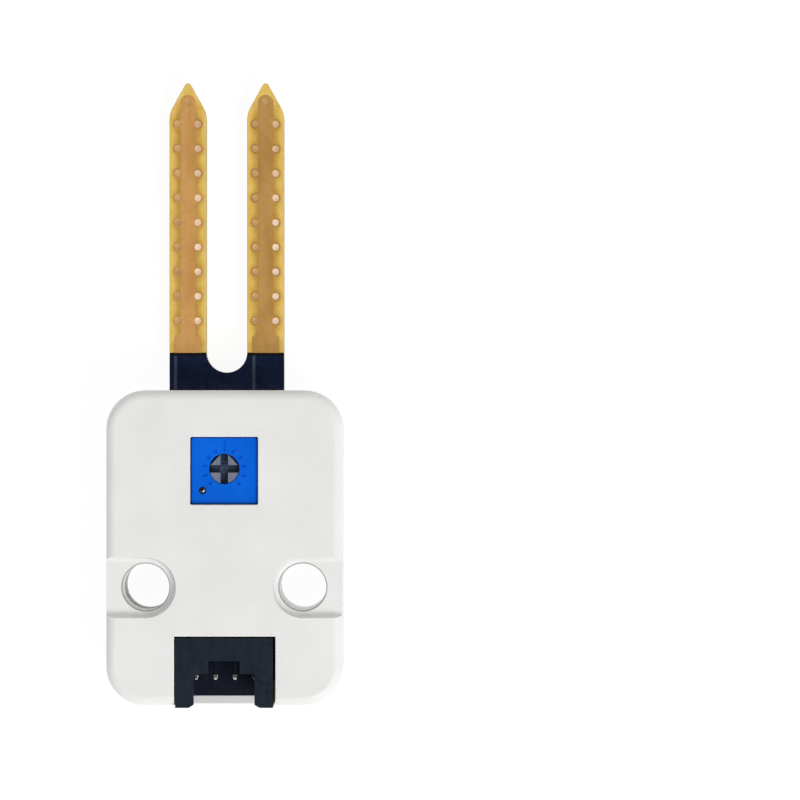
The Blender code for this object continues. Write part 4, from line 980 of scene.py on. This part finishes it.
def make_socket():
    front = SOCKET_LOW.y - PAST
    roof = SOCKET_HIGH.z - SOCKET_SKIN
    floor = SOCKET_LOW.z + SOCKET_SKIN
    shroud = block("plug_socket", SOCKET_LOW, SOCKET_HIGH)
    tools = (
        ((-SOCKET_CAVITY_HALF, front, floor), (SOCKET_CAVITY_HALF, SOCKET_CAVITY_BACK, roof)),
        (
            (-SOCKET_CAVITY_HALF, front, SOCKET_LOW.z - PAST),
            (SOCKET_CAVITY_HALF, SOCKET_FLOOR_FRONT, floor + SOCKET_SKIN),
        ),
        (
            (-SOCKET_ROOF_HALF, front, roof - SOCKET_SKIN),
            (SOCKET_ROOF_HALF, SOCKET_ROOF_FRONT, SOCKET_HIGH.z + PAST),
        ),
        (
            (-SOCKET_NOTCH_HALF, front, roof - SOCKET_SKIN),
            (SOCKET_NOTCH_HALF, SOCKET_NOTCH_BACK, SOCKET_HIGH.z + PAST),
        ),
    )
    for low, high in tools:
        cut(shroud, block("socket_tool", low, high))
    for side in (1, -1):
        corner = side * SOCKET_ROOF_HALF
        back = SOCKET_LOW.y + EAR_CHAMFER_Y
        run = EAR_CHAMFER_X / EAR_CHAMFER_Y
        wedge = [
            (corner - side * OVERLAP, front),
            (corner + side * (EAR_CHAMFER_X + run * PAST), front),
            (corner, back),
            (corner - side * OVERLAP, back),
        ]
        cut(shroud, prism("ear_chamfer", wedge, roof - SOCKET_SKIN, SOCKET_HIGH.z + PAST))
    for node in ("socket_pin_1", "socket_pin_2", "socket_pin_3", "socket_pin_4"):
        low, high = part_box(node)
        x = (low.x + high.x) / 2
        hole = PIN_SIZE / 2 + PIN_GAP
        cut(
            shroud,
            block(
                "pin_hole",
                (x - hole, SOCKET_CAVITY_BACK - PAST, PIN_HEIGHT - hole),
                (x + hole, SOCKET_HIGH.y + PAST, PIN_HEIGHT + hole),
            ),
            block(
                "pin_channel",
                (x - CHANNEL_HALF, SOCKET_HIGH.y - CHANNEL_HALF, SOCKET_LOW.z - PAST),
                (x + CHANNEL_HALF, SOCKET_HIGH.y + PAST, PIN_HEIGHT + CHANNEL_RISE),
            ),
        )
    dress(shroud, SOCKET, replaced=["socket_shroud"], bevel=0.07 * MM, segments=3)


def make_pin(number):
    """A square drawn pin whose end tapers on four sides, bent down to the board behind the socket."""
    node = f"socket_pin_{number}"
    low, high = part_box(node)
    x = (low.x + high.x) / 2
    half, narrow = PIN_SIZE / 2, PIN_SIZE / 4
    foot = BOARD_TOP + PIN_GAP + half
    leg = [(PIN_TIP + PIN_TIP_TAPER, PIN_HEIGHT), (PIN_LEG, PIN_HEIGHT)]
    leg += [(PIN_LEG, foot), (PIN_FOOT_END, foot)]
    turns = (0.0, -math.pi / 4, -math.pi / 4, 0.0)
    bm = bmesh.new()
    loops = []
    sections = [(PIN_TIP, PIN_HEIGHT, 0.0, narrow, narrow)]
    for (y, z), turn in zip(leg, turns):
        sections.append((y, z, turn, half, half / math.cos(turn)))
    for y, z, turn, wide, tall in sections:
        corners = ((-wide, -tall), (wide, -tall), (wide, tall), (-wide, tall))
        dy, dz = -math.sin(turn), math.cos(turn)
        loops.append([bm.verts.new((x + a, y + b * dy, z + b * dz)) for a, b in corners])
    for first, second in zip(loops, loops[1:]):
        for i in range(4):
            bm.faces.new((first[i - 1], first[i], second[i], second[i - 1]))
    bm.faces.new(loops[0])
    bm.faces.new(loops[-1])
    pin = body_from(f"plug_pin_{number}", bm)
    dress(pin, PINS, replaced=[node], bevel=0.05 * MM, segments=2)


def make_anchor(side, node):
    """A folded sheet-metal tab beside the socket, with a foot on the board.

    The right one is taller, and its top runs forward as a tongue.
    """
    low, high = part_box(node)
    wall = min(abs(low.x), abs(high.x))
    reach = max(abs(low.x), abs(high.x))
    face = wall + TAB_THICK
    foot_top = low.z + TAB_THICK
    top = TAB_TOP if side > 0 else high.z
    bend = quarter_round(TAB_BEND, TAB_BEND_STEPS)
    profile = [(reach, low.z), (reach, foot_top)]
    profile += [(face + inset, foot_top + depth) for inset, depth in bend]
    profile += [(face, top), (wall, top), (wall, low.z)]
    bm = bmesh.new()
    ends = [[bm.verts.new((side * x, y, z)) for x, z in profile] for y in (low.y, high.y)]
    for i in range(len(profile)):
        bm.faces.new((ends[0][i - 1], ends[0][i], ends[1][i], ends[1][i - 1]))
    for end in ends:
        bm.faces.new(end)
    tab = body_from("anchor_tab_" + ("right" if side > 0 else "left"), bm)
    if side > 0:
        add(tab, block("tongue", (wall, TAB_FRONT, high.z - TONGUE_DROP), (face, low.y + OVERLAP, top)))
    dress(tab, BRASS, replaced=[node], bevel=0.02 * MM, segments=2)


# ----------------------------------------------------------------- trimmer


def turned_about_rotor(points, angle):
    """Points round (0, 0), turned clockwise by an angle and moved to the rotor's axis."""
    sine, cosine = math.sin(angle), math.cos(angle)
    return [(ROTOR_X + x * cosine + y * sine, ROTOR_Y - x * sine + y * cosine) for x, y in points]


def scale_mark(index, spread):
    """One mark of the scale, with round ends and spread added all round."""
    middle = (SCALE_MARKS - 1) / 2
    angle = ROTOR_TRAVEL * (index - middle) / (SCALE_MARKS - 1)
    outer = LONG_MARK_OUTER if index == middle else MARK_OUTER
    half = MARK_HALF + spread
    start, end = MARK_INNER + MARK_HALF, outer - MARK_HALF
    outline = arc(0, end, half, 0, 180, MARK_STEPS) + arc(0, start, half, 180, 360, MARK_STEPS)
    return turned_about_rotor(outline, math.radians(angle))


def make_housing():
    half_x, half_y = (HOUSING_HIGH.x - HOUSING_LOW.x) / 2, (HOUSING_HIGH.y - HOUSING_LOW.y) / 2

    def outline(inset):
        middle = (TRIMMER_X, TRIMMER_Y)
        corner = HOUSING_CORNER - inset
        return rounded_rectangle(half_x - inset, half_y - inset, corner, middle, HOUSING_STEPS)

    bottom = HOUSING_LOW.z + HOUSING_BASE
    levels = [(0, bottom)]
    levels += [(inset, TRIMMER_TOP - depth) for inset, depth in reversed(quarter_round(HOUSING_ROUND))]
    housing = stack("trimmer_case", outline, levels)
    axis = (ROTOR_X, ROTOR_Y)
    bore = turned("bore", axis, [(HOUSING_BORE, bottom - PAST), (HOUSING_BORE, HOUSING_CEILING)])
    wide = ROTOR_HOLE + ROTOR_HOLE_BREAK
    levels = [(ROTOR_HOLE, HOUSING_CEILING - OVERLAP), (ROTOR_HOLE, TRIMMER_TOP - ROTOR_HOLE_BREAK)]
    levels += [(wide, TRIMMER_TOP), (wide, TRIMMER_TOP + PAST)]
    cut(housing, bore, turned("rotor_hole", axis, levels))
    levels = [(spread, TRIMMER_TOP + height) for spread, height in MARK_SECTION]
    marks = [stack("mark", lambda spread, i=i: scale_mark(i, spread), levels) for i in range(SCALE_MARKS)]
    centre = (TRIMMER_X + DIMPLE_X, TRIMMER_Y + DIMPLE_Y)
    floor = TRIMMER_TOP - DIMPLE_DEPTH
    hole = [(DIMPLE_RADIUS, floor), (DIMPLE_RADIUS, TRIMMER_TOP - DIMPLE_BREAK * 0.75)]
    hole += [(DIMPLE_RADIUS + DIMPLE_BREAK, TRIMMER_TOP + DIMPLE_BREAK / 4)]
    cut(housing, merged(marks), turned("dimple", centre, hole, SMALL_STEPS))
    dress(housing, BLUE, replaced=["trimmer_housing"])
    make_bead(centre, floor)


def make_bead(centre, floor):
    """The epoxy in the dimple: a shallow cap that leans towards the front right."""
    edge, surface = DIMPLE_RADIUS - BEAD_GAP, floor + BEAD_LEVEL
    levels = [(edge, floor + BEAD_GAP / 5), (edge, surface)]
    steepest = math.asin(BEAD_REACH / BEAD_RADIUS)
    for i in range(BEAD_LEVELS):
        a = steepest * (1 - i / BEAD_LEVELS)
        rise = math.cos(a) - math.cos(steepest)
        levels.append((BEAD_RADIUS * math.sin(a), surface + BEAD_RADIUS * rise))
    dot = turned("trimmer_dot", centre, levels, BEAD_STEPS)
    for vertex in dot.data.vertices:
        if vertex.co.z > floor + BEAD_GAP:
            vertex.co.z -= BEAD_LEAN * (vertex.co.x - centre[0] - vertex.co.y + centre[1])
    dress(dot, DIMPLE)


def rotor_flat(side):
    near, far, half = ROTOR_FLAT, ROTOR_RADIUS + OVERLAP, ROTOR_RADIUS
    corners = ((-half, near), (-half, far), (half, far), (half, near))
    return turned_about_rotor(corners, side * ROTOR_FLAT_TURN)


def make_rotor():
    levels = [(FLANGE_RADIUS, ROTOR_LOW.z), (FLANGE_RADIUS, FLANGE_TOP)]
    levels += [(ROTOR_RADIUS, FLANGE_TOP), (ROTOR_RADIUS, ROTOR_TOP)]
    centre = (ROTOR_X, ROTOR_Y)
    rotor = turned("screw_rotor", centre, levels)
    floor = ROTOR_TOP - ROTOR_SLOT_DEPTH
    long_half = ROTOR_RADIUS + OVERLAP
    for half_x, half_y in ((long_half, ROTOR_SLOT_HALF), (ROTOR_SLOT_HALF, long_half)):
        cut(rotor, prism("cross", rectangle(half_x, half_y, centre), floor, ROTOR_TOP + PAST))
    for side in (1, -1):
        cut(rotor, prism("flat", rotor_flat(side), ROTOR_TOP - ROTOR_FLAT_DEPTH, ROTOR_TOP + PAST))
    pad = [(ROTOR_PAD_RADIUS, floor - OVERLAP), (ROTOR_PAD_RADIUS, floor + ROTOR_PAD_HEIGHT)]
    add(rotor, turned("pad", centre, pad, SMALL_STEPS))
    dress(rotor, GREY, ROTOR, ["trimmer_rotor"], bevel=0.05 * MM, segments=2)


# ---------------------------------------------------------------- assembly

make_bottom()
make_top()
make_board()
make_electrode("left_foil", "left_electrode", -PRONG_X, COPPER_LEFT)
make_electrode("right_foil", "right_electrode", PRONG_X, COPPER_RIGHT)
make_socket()
for number in range(1, 5):
    make_pin(number)
make_housing()
make_rotor()

# Nodes that keep their shape, by the start of their names
KEPT = {
    "trimmer_seal": RED,
    "trimmer_wiper": TINNED,
    "trimmer_element": PALE,
    "trimmer_base": SEALANT,
    "trimmer_terminal": TINNED,
    "comparator_body": CHIP,
    "comparator_lead": TINNED,
    "resistor": RESISTOR,
    "capacitor": CAPACITOR,
}
for start, material in KEPT.items():
    for name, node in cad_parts.items():
        if name.startswith(start):
            for slot in node.material_slots:
                slot.material = material

make_anchor(1, "socket_anchor_right")
make_anchor(-1, "socket_anchor_left")


# ------------------------------------------------------------------ stage


def make_floor():
    """A sheet of white paper lit from below, far larger than the view."""
    n = Nodes("paper", 0.9, specular=0.1)
    grain = n.noise(3 * MM, 4.0)
    n.colour(n.blotches(grain, (0.12, 0.12, 0.12), (0.14, 0.14, 0.14)))
    n.shader.inputs["Emission Color"].default_value = (1.0, 1.0, 1.0, 1.0)
    n.shader.inputs["Emission Strength"].default_value = FLOOR_GLOW
    bm = bmesh.new()
    lines = [-FLOOR_HALF + 2 * FLOOR_HALF * i / FLOOR_CELLS for i in range(FLOOR_CELLS + 1)]
    rows = [[bm.verts.new((x, y, 0.0)) for x in lines] for y in lines]
    for low, high in zip(rows, rows[1:]):
        for j in range(FLOOR_CELLS):
            bm.faces.new((low[j], low[j + 1], high[j + 1], high[j]))
    floor = body_from("paper_floor", bm)
    floor.location.z = CASE_LOW.z - FLOOR_DROP
    floor.data.materials.append(n.material)


def make_lamp():
    """A round soft lamp in front, to the right and above."""
    lamp = bpy.data.lights.new("key", "AREA")
    lamp.shape = "DISK"
    lamp.size = LAMP_SIZE
    lamp.energy = LAMP_POWER
    holder = bpy.data.objects.new("key", lamp)
    holder.location = LAMP_PLACE
    holder.rotation_euler = (LAMP_TARGET - LAMP_PLACE).to_track_quat("-Z", "Y").to_euler()
    bpy.context.scene.collection.objects.link(holder)


def make_world():
    """A white tent, brightest half-way up its sides."""
    world = bpy.data.worlds.new("tent")
    bpy.context.scene.world = world
    world.use_nodes = True
    tree = world.node_tree
    background = tree.nodes["Background"]
    background.inputs["Color"].default_value = (1.0, 1.0, 1.0, 1.0)
    direction = tree.nodes.new("ShaderNodeTexCoord")
    split = tree.nodes.new("ShaderNodeSeparateXYZ")
    tree.links.new(direction.outputs["Generated"], split.inputs[0])
    total = tree.nodes.new("ShaderNodeMath")
    ramps = ((*TENT_RISE, TENT_LOW, TENT_SIDES), (*TENT_FALL, 0.0, TENT_OVERHEAD - TENT_SIDES))
    for part, values in zip(total.inputs, ramps):
        ramp = tree.nodes.new("ShaderNodeMapRange")
        ramp.interpolation_type = "SMOOTHSTEP"
        for name, value in zip(("From Min", "From Max", "To Min", "To Max"), values):
            ramp.inputs[name].default_value = value
        tree.links.new(split.outputs["Z"], ramp.inputs["Value"])
        tree.links.new(ramp.outputs["Result"], part)
    tree.links.new(total.outputs[0], background.inputs["Strength"])


def make_camera():
    """A camera that looks straight down, from the right of the object."""
    data = bpy.data.cameras.new("camera")
    data.sensor_width = CAMERA_SENSOR
    data.lens = CAMERA_LENS
    data.clip_start = 0.01
    data.clip_end = 20.0
    camera = bpy.data.objects.new("camera", data)
    camera.location = CAMERA_PLACE
    bpy.context.scene.collection.objects.link(camera)
    bpy.context.scene.camera = camera


make_floor()
make_lamp()
make_world()
make_camera()
bpy.context.scene.view_settings.view_transform = "Standard"

bpy.context.view_layer.update()
